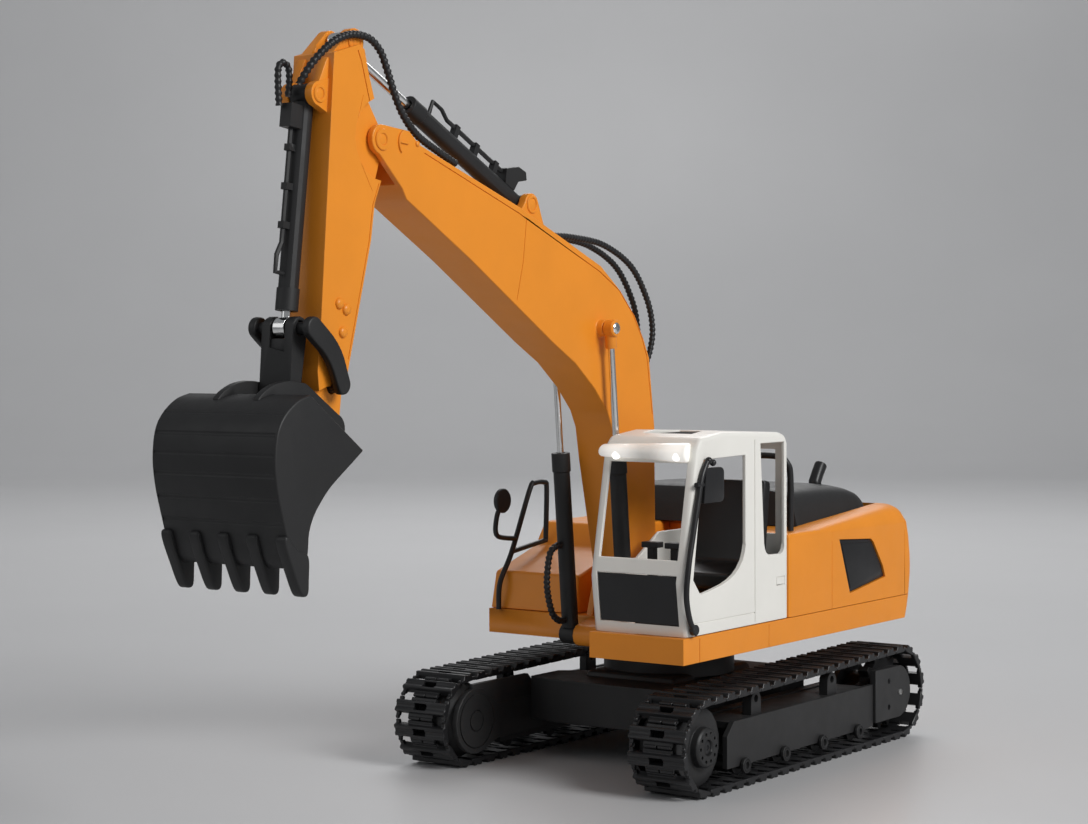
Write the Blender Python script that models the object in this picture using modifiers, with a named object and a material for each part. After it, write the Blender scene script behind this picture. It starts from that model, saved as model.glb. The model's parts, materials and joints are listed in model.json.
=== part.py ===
"""Remote-controlled crawler excavator, about one twentieth of full size.

The machine faces -Y with its cab on the +X side and stands on Z = 0. Places are measured from the
slew axis, and every object is then carried to SLEW_AXIS_Y, which centres the machine on the origin.
"""

import math

import bmesh
import bpy
from mathutils import Matrix, Vector

MM = 0.001
GAP = 0.3 * MM  # between pieces that touch
RUNNING_GAP = 0.5 * MM  # between pieces that move past one another

# Tracks
TRACK_OVERALL_WIDTH = 156 * MM
PAD_WIDTH = 28.4 * MM
WHEEL_BASE = 178.6 * MM
IDLER_TRACK_RADIUS = 21.3 * MM  # over the grousers
SPROCKET_TRACK_RADIUS = 22.7 * MM
BELT_LINKS = 48
BELT_FLOOR = 0.9 * MM  # web left between two links
PAD_THICKNESS = 2.0 * MM
GROUSER_HEIGHT = 1.5 * MM
WINDOW_WIDTH = 7.0 * MM
WINDOW_LENGTH = 3.2 * MM
SPROCKET_TEETH = 12
TOOTH_HEIGHT = 3.2 * MM
SPROCKET_THICKNESS = 5.5 * MM
HUB_RADIUS = 8.7 * MM
AXLE_RADIUS = 3.0 * MM
ROLLERS_PER_SIDE = 4
ROLLER_PITCH = 34.8 * MM
ROLLER_AXIS_Z = 8.6 * MM
ROLLER_JOURNAL_RADIUS = 2.0 * MM
FRAME_TOP_Z = 28.7 * MM
FRAME_LENGTH = 134.5 * MM
FRAME_PLATE = 2.4 * MM
INNER_PLATE = 2.8 * MM
INNER_DISC_RADIUS = 15.0 * MM
CARRIER_POST_WIDTH = 8.5 * MM
CARRIER_POST_SPACING = 69.6 * MM
COVER_RADIUS = 12.6 * MM
COVER_THICKNESS = 3.4 * MM
MOTOR_RADIUS = 5.6 * MM
MOTOR_LENGTH = 30.0 * MM

# Chassis and slewing gear
CHASSIS_BOTTOM_Z = 17.0 * MM
CHASSIS_TOP_Z = 40.0 * MM
CHASSIS_ARM_STEP = 3.0 * MM  # from the block's top down to the arms
CHASSIS_LENGTH = 104.0 * MM
CHASSIS_WAIST = 62.0 * MM
ARM_LENGTH = 30.0 * MM
TURNTABLE_RADIUS = 31.0 * MM
SPIGOT_RADIUS = 8.0 * MM
SPIGOT_DEPTH = 9.0 * MM
BATTERY_COVER_SIZE = (38.0 * MM, 56.0 * MM)
BATTERY_COVER_THICKNESS = 1.6 * MM
SWITCH_SIZE = (4.0 * MM, 4.0 * MM, 4.0 * MM)
SWITCH_TRAVEL = 3.0 * MM

# Deck and house
DECK_BOTTOM_Z = 56.3 * MM
SKIRT_HEIGHT = 11.3 * MM
HOUSE_HALF_WIDTH = 69.0 * MM
HOUSE_TOP_Z = 106.0 * MM
HOUSE_REAR_Y = 120.0 * MM
HOUSE_WALL = 2.0 * MM
REAR_CORNER_RADIUS = 5.0 * MM
REAR_BOW = 2.0 * MM  # how far the middle of the back stands behind its corners
COUNTERWEIGHT_BULGE_Z = 82.0 * MM
COUNTERWEIGHT_BULGE_RADIUS = 50.0 * MM
COUNTERWEIGHT_BULGE_REACH = 30.0 * MM
CROWN_HEIGHT = 7.0 * MM
CROWN_SHOULDER = 11.5 * MM
WELL_REAR_Y = 34.0 * MM
WELL_CLEARANCE = 0.9 * MM  # between a boom cylinder and the cab's inner wall
DECK_FRONT_Y = -50.0 * MM
HOOD_FRONT_Y = 26.0 * MM
HOOD_REAR_Y = 104.0 * MM
HOOD_HALF_WIDTH = 55.0 * MM
HOOD_HEIGHT = 18.0 * MM
HOOD_WALL = 1.8 * MM
HOOD_SIDE_SLOPE = 4.0 * MM
HOOD_BACK_SLOPE = 8.0 * MM
HOOD_FALL = 2.5 * MM
EXHAUST_RADIUS = 3.1 * MM
EXHAUST_PLACE = (35.0 * MM, 79.0 * MM)
GRILLE_DEPTH = 1.6 * MM
LOUVRE_COUNT = 5
SLEW_MOTOR_RADIUS = 8.0 * MM
SLEW_MOTOR_HEIGHT = 26.0 * MM

# Cab
CAB_FRONT_Y = -96.2 * MM
CAB_REAR_Y = -6.6 * MM
CAB_CHIN_Z = 92.0 * MM
CAB_ROOF_Z = 152.5 * MM
CAB_WALL = 1.8 * MM
PILLAR = 4.2 * MM
SILL_Z = 98.0 * MM
CROSSBAR = 6.5 * MM
LIGHT_BAR_HEIGHT = 8.5 * MM
LIGHT_BAR_REACH = 5.0 * MM
HATCH_SIZE = (25.0 * MM, 30.0 * MM)
RAIL_RADIUS = 1.25 * MM
SEAT_HALF_WIDTH = 18.0 * MM
SEAT_HEIGHT = 63.0 * MM
MIRROR_RADIUS = 5.8 * MM

# Boom
BOOM_FOOT = (-36.0 * MM, 80.0 * MM)
BOOM_KNEE = (-55.3 * MM, 216.5 * MM)
BOOM_TIP = (-222.2 * MM, 273.1 * MM)
BOOM_HALF_WIDTH = 10.3 * MM
BOOM_FOOT_RADIUS = 9.5 * MM
FORK_PLATE = 2.9 * MM
FORK_DEPTH = 20.0 * MM
PIN_RADIUS = 2.6 * MM
LUG_PLATE = 4.0 * MM

# Cylinders
BOOM_CYLINDER_FOOT = (-59.0 * MM, 60.0 * MM)
BOOM_CYLINDER_EYE = (-71.5 * MM, 199.5 * MM)
BOOM_BARREL_RADIUS = 4.3 * MM
BOOM_BARREL_LENGTH = 83.0 * MM
BOOM_ROD_RADIUS = 1.5 * MM
BOOM_ROD_RETRACTION = 18.6 * MM  # from rest until the boom is fully lowered
ROD_KNUCKLE_RADIUS = 3.8 * MM
ARM_BARREL_RADIUS = 3.9 * MM
PIPE_RADIUS = 1.0 * MM
STICK_BARREL_LENGTH = 82.0 * MM
BUCKET_ROD_SHOWN = 7.1 * MM  # from the barrel's mouth to the rod's eye at rest
ARM_ROD_RADIUS = 1.8 * MM
STICK_ROD_RETRACTION = 14.2 * MM
BUCKET_ROD_RETRACTION = 1.9 * MM
EYE_RADIUS = 4.2 * MM
EYE_HALF_WIDTH = 4.0 * MM
HEAD_LUG_RADIUS = 5.2 * MM
COLLAR_LENGTH = 8.0 * MM
STICK_CYLINDER_FOOT = (-120.4 * MM, 252.4 * MM)

# Stick, measured from the boom tip
STICK_EYE = (-13.3 * MM, 36.9 * MM)
BUCKET_CYLINDER_FOOT = (-34.1 * MM, 15.2 * MM)
ROCKER_PIVOT = (-28.7 * MM, -96.3 * MM)
BUCKET_PIVOT = (-30.8 * MM, -112.1 * MM)
STICK_TIP_RADIUS = 6.2 * MM
STICK_TIP_HALF_WIDTH = 8.0 * MM
POCKET_RADIUS = 16.2 * MM

# Bucket and its linkage, measured from the bucket pivot
BUCKET_HALF_WIDTH = 31.0 * MM
BUCKET_WALL = 1.8 * MM
BUCKET_LINK_PIN = (-18.5 * MM, 11.5 * MM)
BUCKET_TEETH = 5
TOOTH_WIDTH = 7.0 * MM
EAR_PLATE = 3.2 * MM
EAR_RADIUS = 6.5 * MM
ROCKER_END = (-15.0 * MM, 38.5 * MM)
ROCKER_ARM = 3.6 * MM
LINK_HALF_WIDTH = 7.8 * MM
LINK_THICKNESS = 6.0 * MM

# Colours
ORANGE = (0.80, 0.36, 0.035)
CREAM = (0.80, 0.78, 0.70)
BLACK = (0.018, 0.018, 0.020)
DARK_GREY = (0.055, 0.056, 0.060)
MID_GREY = (0.12, 0.12, 0.125)
CHROME = (0.75, 0.75, 0.74)

# Places that several pieces share
DECK_TOP_Z = DECK_BOTTOM_Z + SKIRT_HEIGHT
TRACK_X = (TRACK_OVERALL_WIDTH - PAD_WIDTH) / 2
BELT_THICKNESS = PAD_THICKNESS + GROUSER_HEIGHT
IDLER_Y = -WHEEL_BASE / 2
SPROCKET_Y = WHEEL_BASE / 2
IDLER_BELT_RADIUS = IDLER_TRACK_RADIUS - BELT_THICKNESS
SPROCKET_BELT_RADIUS = SPROCKET_TRACK_RADIUS - BELT_THICKNESS
INNER_PLATE_OUT = TRACK_X - PAD_WIDTH / 2 - GAP
INNER_PLATE_IN = INNER_PLATE_OUT - INNER_PLATE
FRAME_OUT = TRACK_OVERALL_WIDTH / 2 - 4.0 * MM
CYLINDER_X = BOOM_HALF_WIDTH + RUNNING_GAP + BOOM_BARREL_RADIUS + GAP
CAB_INNER_X = CYLINDER_X + BOOM_BARREL_RADIUS + WELL_CLEARANCE
LUG_OUT = EYE_HALF_WIDTH + RUNNING_GAP + LUG_PLATE - 0.5 * MM
BORE_FLOOR = EYE_RADIUS + 4.0 * MM  # from a cylinder's foot pin to the bottom of its bore
TIP = BOOM_TIP


def from_point(anchor, offset):
    return (anchor[0] + offset[0], anchor[1] + offset[1])


STICK_ROD_EYE = from_point(TIP, STICK_EYE)
BUCKET_BARREL_FOOT = from_point(TIP, BUCKET_CYLINDER_FOOT)
ROCKER = from_point(TIP, ROCKER_PIVOT)
BUCKET = from_point(TIP, BUCKET_PIVOT)
LINK_PIN = from_point(BUCKET, BUCKET_LINK_PIN)
ROCKER_EYE = from_point(BUCKET, ROCKER_END)
BUCKET_BARREL_LENGTH = math.dist(BUCKET_BARREL_FOOT, ROCKER_EYE) - BUCKET_ROD_SHOWN
BUCKET_BACK = 55.0 * MM  # from the bucket pivot forward to the machine's foremost point
SLEW_AXIS_Y = (BUCKET_BACK - BUCKET[0] - HOUSE_REAR_Y) / 2


# Scene and materials

for old in list(bpy.data.objects):
    bpy.data.objects.remove(old, do_unlink=True)

parts = bpy.data.collections.new("crawler_excavator")
cutters = bpy.data.collections.new("cutters")
bpy.context.scene.collection.children.link(parts)
bpy.context.scene.collection.children.link(cutters)


def new_material(name, colour, roughness, metallic=0.0):
    material = bpy.data.materials.new(name)
    material.use_nodes = True
    shader = material.node_tree.nodes["Principled BSDF"]
    shader.inputs["Base Color"].default_value = (*colour, 1.0)
    shader.inputs["Roughness"].default_value = roughness
    shader.inputs["Metallic"].default_value = metallic
    return material


orange_plastic = new_material("orange_plastic", ORANGE, 0.35)
cream_plastic = new_material("cream_plastic", CREAM, 0.35)
black_plastic = new_material("black_plastic", BLACK, 0.5)
dark_plastic = new_material("dark_plastic", DARK_GREY, 0.5)
grey_plastic = new_material("grey_plastic", MID_GREY, 0.5)
steel = new_material("steel", CHROME, 0.2, 1.0)


# Shape helpers

PLANES = {
    "yz": Matrix(((0, 0, 1, 0), (1, 0, 0, 0), (0, 1, 0, 0), (0, 0, 0, 1))),
    "xy": Matrix.Identity(4),
    "xz": Matrix(((1, 0, 0, 0), (0, 0, -1, 0), (0, 1, 0, 0), (0, 0, 0, 1))),
}
TURN = {
    "x": Matrix.Rotation(math.radians(90), 4, "Y"),
    "y": Matrix.Rotation(math.radians(-90), 4, "X"),
    "z": Matrix.Identity(4),
}


def add_object(name, data, material=None, helper=False):
    """A new object in the machine's frame. A helper is only a tool for a Boolean."""
    obj = bpy.data.objects.new(name, data)
    obj.location = (0.0, SLEW_AXIS_Y, 0.0)
    if helper:
        cutters.objects.link(obj)
        obj.hide_render = True
        obj.display_type = "WIRE"
    else:
        parts.objects.link(obj)
        obj.data.materials.append(material)
    return obj


def prism_mesh(outline, low, high, plane="yz", holes=()):
    """The mesh of a flat outline pulled from low to high across its plane."""
    curve = bpy.data.curves.new("outline", "CURVE")
    curve.dimensions = "2D"
    curve.fill_mode = "BOTH"
    curve.extrude = (high - low) / 2
    for points in (outline, *holes):
        spline = curve.splines.new("POLY")
        spline.points.add(len(points) - 1)
        for control, (across, up) in zip(spline.points, points):
            control.co = (across, up, 0.0, 1.0)
        spline.use_cyclic_u = True
    guide = bpy.data.objects.new("outline", curve)
    mesh = bpy.data.meshes.new_from_object(guide)
    bpy.data.objects.remove(guide)
    bpy.data.curves.remove(curve)
    middle = (low + high) / 2
    lift = Matrix.Translation((0, 0, -middle if plane == "xz" else middle))
    mesh.transform(PLANES[plane] @ lift)
    clean_mesh(mesh)
    return mesh


def clean_mesh(mesh):
    """Welds loose caps and turns every face outwards."""
    work = bmesh.new()
    work.from_mesh(mesh)
    bmesh.ops.remove_doubles(work, verts=work.verts, dist=1e-6)
    bmesh.ops.dissolve_limit(work, angle_limit=0.0005, verts=work.verts, edges=work.edges)
    bmesh.ops.triangulate(work, faces=work.faces, ngon_method="BEAUTY")
    bmesh.ops.recalc_face_normals(work, faces=work.faces)
    work.to_mesh(mesh)
    work.free()


def prism(name, outline, low, high, material=None, plane="yz", holes=()):
    helper = material is None
    return add_object(name, prism_mesh(outline, low, high, plane, holes), material, helper)


def box(name, low, high, material=None):
    """A box between two corners."""
    mesh = bpy.data.meshes.new(name)
    work = bmesh.new()
    size = [b - a for a, b in zip(low, high)]
    middle = [(a + b) / 2 for a, b in zip(low, high)]
    bmesh.ops.create_cube(work, size=1.0, matrix=Matrix.LocRotScale(middle, None, size))
    work.to_mesh(mesh)
    work.free()
    return add_object(name, mesh, material, material is None)


def turned(name, profile, centre, material=None, axis="x", steps=20):
    """A shape turned about an axis through centre. The profile lists (radius, place along the axis)."""
    mesh = bpy.data.meshes.new(name)
    work = bmesh.new()
    verts = [work.verts.new((radius, 0.0, along)) for radius, along in profile]
    for first, second in zip(verts, verts[1:]):
        work.edges.new((first, second))
    if profile[0][0] > 0 and profile[-1][0] > 0:
        work.edges.new((verts[-1], verts[0]))
    work.to_mesh(mesh)
    work.free()
    obj = add_object(name, mesh, material, material is None)
    obj.location = Vector(centre) + Vector((0.0, SLEW_AXIS_Y, 0.0))
    obj.rotation_euler = TURN[axis].to_euler()
    screw = obj.modifiers.new("turn", "SCREW")
    screw.steps = steps
    screw.render_steps = steps
    screw.use_merge_vertices = True
    screw.merge_threshold = 0.00001
    return obj


def pin(name, radius, low, high, place, material=None, steps=14):
    """A round bar along X at a place given as (y, z)."""
    profile = [(0.0, high), (radius, high), (radius, low), (0.0, low)]
    return turned(name, profile, (0.0, *place), material, "x", steps)


def tube(name, points, radius, material, resolution=1):
    """A round bar or hose along a list of points."""
    curve = bpy.data.curves.new(name, "CURVE")
    curve.dimensions = "3D"
    curve.bevel_depth = radius
    curve.bevel_resolution = resolution
    curve.use_fill_caps = True
    spline = curve.splines.new("POLY")
    spline.points.add(len(points) - 1)
    for control, point in zip(spline.points, points):
        control.co = (*point, 1.0)
    return add_object(name, curve, material)


def tube_mesh(name, points, radius, resolution=1):
    """A helper of the same form as a tube, as a mesh that a Boolean can join."""
    guide = tube("guide", points, radius, black_plastic, resolution)
    mesh = bpy.data.meshes.new_from_object(guide)
    curve = guide.data
    bpy.data.objects.remove(guide)
    bpy.data.curves.remove(curve)
    clean_mesh(mesh)
    return add_object(name, mesh, helper=True)


def smooth_route(points, per_span=6):
    """Points on a smooth curve through a route's own points."""
    ends = [points[0], *points, points[-1]]
    route = []
    for before, start, stop, after in zip(ends, ends[1:], ends[2:], ends[3:]):
        p0, p1, p2, p3 = (Vector(p) for p in (before, start, stop, after))
        for step in range(per_span):
            t = step / per_span
            route.append(
                0.5 * ((2 * p1) + (p2 - p0) * t + (2 * p0 - 5 * p1 + 4 * p2 - p3) * t * t
                       + (3 * p1 - p0 - 3 * p2 + p3) * t ** 3)
            )
    route.append(Vector(points[-1]))
    return route


def combine(target, operation, *tools):
    for tool in tools:
        modifier = target.modifiers.new(operation.lower(), "BOOLEAN")
        modifier.operation = operation
        modifier.object = tool
    return target


def join(target, *tools):
    return combine(target, "UNION", *tools)


def cut(target, *tools):
    return combine(target, "DIFFERENCE", *tools)


def settle_rounds(obj):
    """Many-sided bars that cross leave open slivers with the exact solver, so these joins use the other one."""
    for modifier in obj.modifiers:
        if modifier.type == "BOOLEAN":
            modifier.solver = "MANIFOLD"
    return obj


def split_faces(obj):
    """Cuts every face into triangles, so that later Booleans meet no bent or many-sided face."""
    obj.modifiers.new("split", "TRIANGULATE")
    return obj


def round_edges(obj, width, segments=2, angle=40, rim=None):
    """Rounds the edges sharper than an angle, but not those of the rim at a given height."""
    work = bmesh.new()
    work.from_mesh(obj.data)
    bmesh.ops.dissolve_limit(work, angle_limit=0.0005, verts=work.verts, edges=work.edges)
    weight = work.edges.layers.float.new("bevel_weight_edge")
    for edge in work.edges:
        on_rim = rim is not None and all(vert.co.z < rim + 1e-6 for vert in edge.verts)
        if not on_rim and edge.calc_face_angle(0.0) > math.radians(angle):
            edge[weight] = 1.0
    work.to_mesh(obj.data)
    work.free()
    modifier = obj.modifiers.new("round", "BEVEL")
    modifier.width = width
    modifier.segments = segments
    modifier.limit_method = "WEIGHT"
    return split_faces(obj)


def arc(centre, radius, start, stop, steps=8):
    """Points on an arc, with angles in degrees from the outline's first axis."""
    points = []
    for step in range(steps + 1):
        angle = math.radians(start + (stop - start) * step / steps)
        points.append((centre[0] + radius * math.cos(angle), centre[1] + radius * math.sin(angle)))
    return points


def circle(centre, radius, steps=20, start=0):
    return arc(centre, radius, start, start + 360, steps)[:-1]


def offset(outline, distance):
    """An outline moved inwards by distance. It runs anticlockwise."""
    result = []
    count = len(outline)
    for index in range(count):
        before = Vector(outline[index - 1])
        here = Vector(outline[index])
        after = Vector(outline[(index + 1) % count])
        first = (here - before).normalized()
        second = (after - here).normalized()
        inward = Vector((-first.y, first.x)) + Vector((-second.y, second.x))
        inward.normalize()
        reach = distance / max(0.3, inward.dot(Vector((-first.y, first.x))))
        result.append(tuple(here + inward * reach))
    return result


def mirrored(points):
    return [(-x, y) for x, y in reversed(points)]


def along(start, stop, distance):
    """The point at a distance from start on the way to stop."""
    step = (Vector(stop) - Vector(start)).normalized()
    return tuple(Vector(start) + step * distance)


def direction_angle(start, stop):
    return math.degrees(math.atan2(stop[1] - start[1], stop[0] - start[0]))


def pivot(name, place, parent=None):
    """An empty on a joint's axis."""
    empty = bpy.data.objects.new(name, None)
    empty.location = Vector(place) + Vector((0.0, SLEW_AXIS_Y, 0.0))
    parts.objects.link(empty)
    if parent is not None:
        bpy.context.view_layer.update()
        empty.parent = parent
        empty.matrix_parent_inverse = parent.matrix_world.inverted()
    bpy.context.view_layer.update()
    return empty


def carry(empty, *objects):
    for obj in objects:
        obj.parent = empty
        obj.matrix_parent_inverse = empty.matrix_world.inverted()


# Tracks

CENTRE_LINE_TILT = math.atan2(SPROCKET_TRACK_RADIUS - IDLER_TRACK_RADIUS, WHEEL_BASE)
SPROCKET_SWEEP = math.pi + 2 * CENTRE_LINE_TILT
IDLER_SWEEP = math.pi - 2 * CENTRE_LINE_TILT
BELT_LENGTH = 2 * WHEEL_BASE + SPROCKET_BELT_RADIUS * SPROCKET_SWEEP + IDLER_BELT_RADIUS * IDLER_SWEEP
LINK_PITCH = BELT_LENGTH / BELT_LINKS


def belt_frame(distance):
    """The place and the outward direction on the belt's inner face, going rearwards along the ground."""
    idler = Vector((IDLER_Y, IDLER_TRACK_RADIUS))
    sprocket = Vector((SPROCKET_Y, SPROCKET_TRACK_RADIUS))
    distance %= BELT_LENGTH
    if distance < WHEEL_BASE:
        outward = Vector((0.0, -1.0))
        return idler + outward * IDLER_BELT_RADIUS + Vector((distance, 0.0)), outward
    distance -= WHEEL_BASE
    if distance < SPROCKET_BELT_RADIUS * SPROCKET_SWEEP:
        angle = distance / SPROCKET_BELT_RADIUS - math.pi / 2
        outward = Vector((math.cos(angle), math.sin(angle)))
        return sprocket + outward * SPROCKET_BELT_RADIUS, outward
    distance -= SPROCKET_BELT_RADIUS * SPROCKET_SWEEP
    angle = math.pi / 2 + 2 * CENTRE_LINE_TILT
    outward = Vector((math.cos(angle), math.sin(angle)))
    if distance < WHEEL_BASE:
        forward = Vector((-outward.y, outward.x))
        return sprocket + outward * SPROCKET_BELT_RADIUS + forward * distance, outward
    angle += (distance - WHEEL_BASE) / IDLER_BELT_RADIUS
    outward = Vector((math.cos(angle), math.sin(angle)))
    return idler + outward * IDLER_BELT_RADIUS, outward


def belt_outline():
    """The shoes' outer outline: each link rises to a flat bar at both ends, with a web to the next link."""
    link = ((0.03, BELT_FLOOR), (0.06, BELT_THICKNESS), (0.18, BELT_THICKNESS), (0.30, PAD_THICKNESS),
            (0.74, PAD_THICKNESS), (0.86, BELT_THICKNESS), (0.98, BELT_THICKNESS))
    points = []
    for number in range(BELT_LINKS):
        for share, height in link:
            place, outward = belt_frame((number + share) * LINK_PITCH)
            points.append(tuple(place + outward * height))
    return points


def belt_inner_outline():
    """The belt's inner face: straight runs between the two rounds."""
    steps = 20
    rear = [WHEEL_BASE + SPROCKET_BELT_RADIUS * SPROCKET_SWEEP * i / steps for i in range(steps + 1)]
    front_start = rear[-1] + WHEEL_BASE
    front = [front_start + IDLER_BELT_RADIUS * IDLER_SWEEP * i / steps for i in range(steps + 1)]
    return [tuple(belt_frame(distance - 1e-9)[0]) for distance in rear + front]


def belt_windows(name, centre_x):
    """One cutter for all the windows that the sprocket's teeth would enter."""
    mesh = bpy.data.meshes.new(name)
    work = bmesh.new()
    for number in range(BELT_LINKS):
        place, outward = belt_frame((number + 0.55) * LINK_PITCH)
        turn = Matrix.Rotation(math.atan2(outward.y, outward.x), 4, "X")
        size = Matrix.Diagonal((WINDOW_WIDTH, 4 * BELT_THICKNESS, WINDOW_LENGTH, 1.0))
        spot = Matrix.Translation((centre_x, place.x, place.y))
        bmesh.ops.create_cube(work, size=1.0, matrix=spot @ turn @ size)
    work.to_mesh(mesh)
    work.free()
    return add_object(name, mesh, helper=True)


def sprocket_outline():
    """A toothed wheel whose tips stay just inside the belt."""
    tip = SPROCKET_BELT_RADIUS - RUNNING_GAP
    root = tip - TOOTH_HEIGHT
    points = []
    for tooth in range(SPROCKET_TEETH):
        for share, radius in ((0.0, root), (0.38, root), (0.56, tip), (0.82, tip)):
            angle = 2 * math.pi * (tooth + share) / SPROCKET_TEETH
            points.append((SPROCKET_Y + radius * math.cos(angle),
                           SPROCKET_TRACK_RADIUS + radius * math.sin(angle)))
    return points


def side_span(side, inner, outer):
    """The low and high X of a piece that lies between two distances from the middle."""
    return (inner, outer) if side > 0 else (-outer, -inner)


def side_profile(side, profile):
    """A turned profile that runs outwards on the +X side, mirrored for the other side."""
    if side > 0:
        return profile
    return [(radius, -place) for radius, place in reversed(profile)]


def roller_places():
    first = -(ROLLERS_PER_SIDE - 1) / 2 * ROLLER_PITCH
    return [first + number * ROLLER_PITCH - 3.4 * MM for number in range(ROLLERS_PER_SIDE)]


def frame_plate_outline():
    low = ROLLER_AXIS_Z
    front = -FRAME_LENGTH / 2 - 1.8 * MM
    rear = front + FRAME_LENGTH
    return [(front, low), (rear, low), (rear, FRAME_TOP_Z), (front + 6 * MM, FRAME_TOP_Z),
            (front, FRAME_TOP_Z - 6 * MM)]


def carrier_post_outline(place):
    top = IDLER_BELT_RADIUS + IDLER_TRACK_RADIUS - RUNNING_GAP
    half = CARRIER_POST_WIDTH / 2
    base = FRAME_TOP_Z - FRAME_PLATE
    return [(place - half, base), (place + half, base)] + arc((place, top - half), half, 0, 180, 8)


def inner_plate_outline():
    """The inboard plate: a disc over the idler, a waist, and a disc over the sprocket."""
    low = ROLLER_AXIS_Z + 2.6 * MM
    high = FRAME_TOP_Z - 1.0 * MM
    idler = (IDLER_Y, IDLER_TRACK_RADIUS)
    sprocket = (SPROCKET_Y, SPROCKET_TRACK_RADIUS)
    return (
        [(IDLER_Y + 16 * MM, low), (SPROCKET_Y - 16 * MM, low)]
        + arc(sprocket, INNER_DISC_RADIUS, -110, 110, 14)
        + [(SPROCKET_Y - 16 * MM, high), (IDLER_Y + 16 * MM, high)]
        + arc(idler, INNER_DISC_RADIUS, 70, 290, 14)
    )


def make_track_frame(side, label):
    """A channel open below: two plates with the rollers between, a web, posts, and the idler's axle."""
    inner, outer = side_span(side, INNER_PLATE_IN, INNER_PLATE_OUT)
    frame = prism(f"track_frame_{label}", inner_plate_outline(), inner, outer, grey_plastic,
                  holes=[circle((SPROCKET_Y, SPROCKET_TRACK_RADIUS), AXLE_RADIUS + RUNNING_GAP, 14)])
    plate_in = side_span(side, INNER_PLATE_OUT - 1.0 * MM, INNER_PLATE_OUT + FRAME_PLATE + 2.0 * MM)
    plate_out = side_span(side, FRAME_OUT - FRAME_PLATE, FRAME_OUT)
    web = side_span(side, INNER_PLATE_OUT + 1.0 * MM, FRAME_OUT - 0.7 * MM)
    front = -FRAME_LENGTH / 2 + 4.2 * MM
    rear = front + FRAME_LENGTH - 10 * MM
    shapes = [
        prism("frame_inner_plate", frame_plate_outline(), *plate_in),
        prism("frame_outer_plate", frame_plate_outline(), *plate_out),
        box("frame_web", (web[0], front, FRAME_TOP_Z - FRAME_PLATE - 1.0 * MM),
            (web[1], rear, FRAME_TOP_Z - 0.6 * MM)),
    ]
    posts = side_span(side, FRAME_OUT - 8.0 * MM, FRAME_OUT - 3.5 * MM)
    for place in (-CARRIER_POST_SPACING / 2 - 3.7 * MM, CARRIER_POST_SPACING / 2 - 3.7 * MM):
        shapes.append(prism("carrier_post", carrier_post_outline(place), *posts))
    axle = side_span(side, INNER_PLATE_IN + 0.6 * MM, FRAME_OUT - 1.0 * MM)
    shapes.append(pin("idler_axle", AXLE_RADIUS, *axle, (IDLER_Y, IDLER_TRACK_RADIUS)))
    join(frame, *shapes)
    notch = side_span(side, INNER_PLATE_OUT - 0.4 * MM, FRAME_OUT + 5 * MM)
    for place in roller_places():
        bearing = pin("roller_notch", ROLLER_JOURNAL_RADIUS + RUNNING_GAP, *notch, (place, ROLLER_AXIS_Z), steps=12)
        cut(frame, bearing)
    return settle_rounds(frame)


def make_idler(side, label):
    """A wheel with two rims, a bored hub and a hub cap on the outside."""
    rim = IDLER_BELT_RADIUS - RUNNING_GAP
    bore = AXLE_RADIUS + RUNNING_GAP
    inside = INNER_PLATE_OUT + RUNNING_GAP
    cap = TRACK_OVERALL_WIDTH / 2 - 0.9 * MM
    middle = TRACK_X
    profile = [
        (0.0, cap), (HUB_RADIUS - 1.0 * MM, cap), (HUB_RADIUS, cap - 1.0 * MM), (HUB_RADIUS, cap - 4.0 * MM),
        (rim - 5 * MM, cap - 4.0 * MM), (rim, middle + 8 * MM), (rim, middle + 3.5 * MM),
        (rim - 3 * MM, middle + 3.0 * MM), (rim - 3 * MM, middle - 3.0 * MM), (rim, middle - 3.5 * MM),
        (rim, middle - 8 * MM), (rim - 5 * MM, inside), (bore, inside), (bore, FRAME_OUT - 0.5 * MM),
        (0.0, FRAME_OUT - 0.5 * MM),
    ]
    return turned(f"idler_{label}", side_profile(side, profile),
                  (0.0, IDLER_Y, IDLER_TRACK_RADIUS), dark_plastic, "x", 18)


def make_sprocket(side, label):
    """A toothed wheel on its drive shaft."""
    middle = side_span(side, TRACK_X - SPROCKET_THICKNESS / 2, TRACK_X + SPROCKET_THICKNESS / 2)
    wheel = prism(f"sprocket_{label}", sprocket_outline(), *middle, dark_plastic)
    shaft = side_span(side, INNER_PLATE_IN - 4.0 * MM, FRAME_OUT - FRAME_PLATE - GAP)
    hub = side_span(side, INNER_PLATE_OUT + RUNNING_GAP, FRAME_OUT - FRAME_PLATE - RUNNING_GAP - 1.0 * MM)
    place = (SPROCKET_Y, SPROCKET_TRACK_RADIUS)
    join(wheel, pin("sprocket_shaft", AXLE_RADIUS, *shaft, place))
    join(wheel, pin("sprocket_hub", HUB_RADIUS, *hub, place, steps=18))
    return settle_rounds(wheel)


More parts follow.
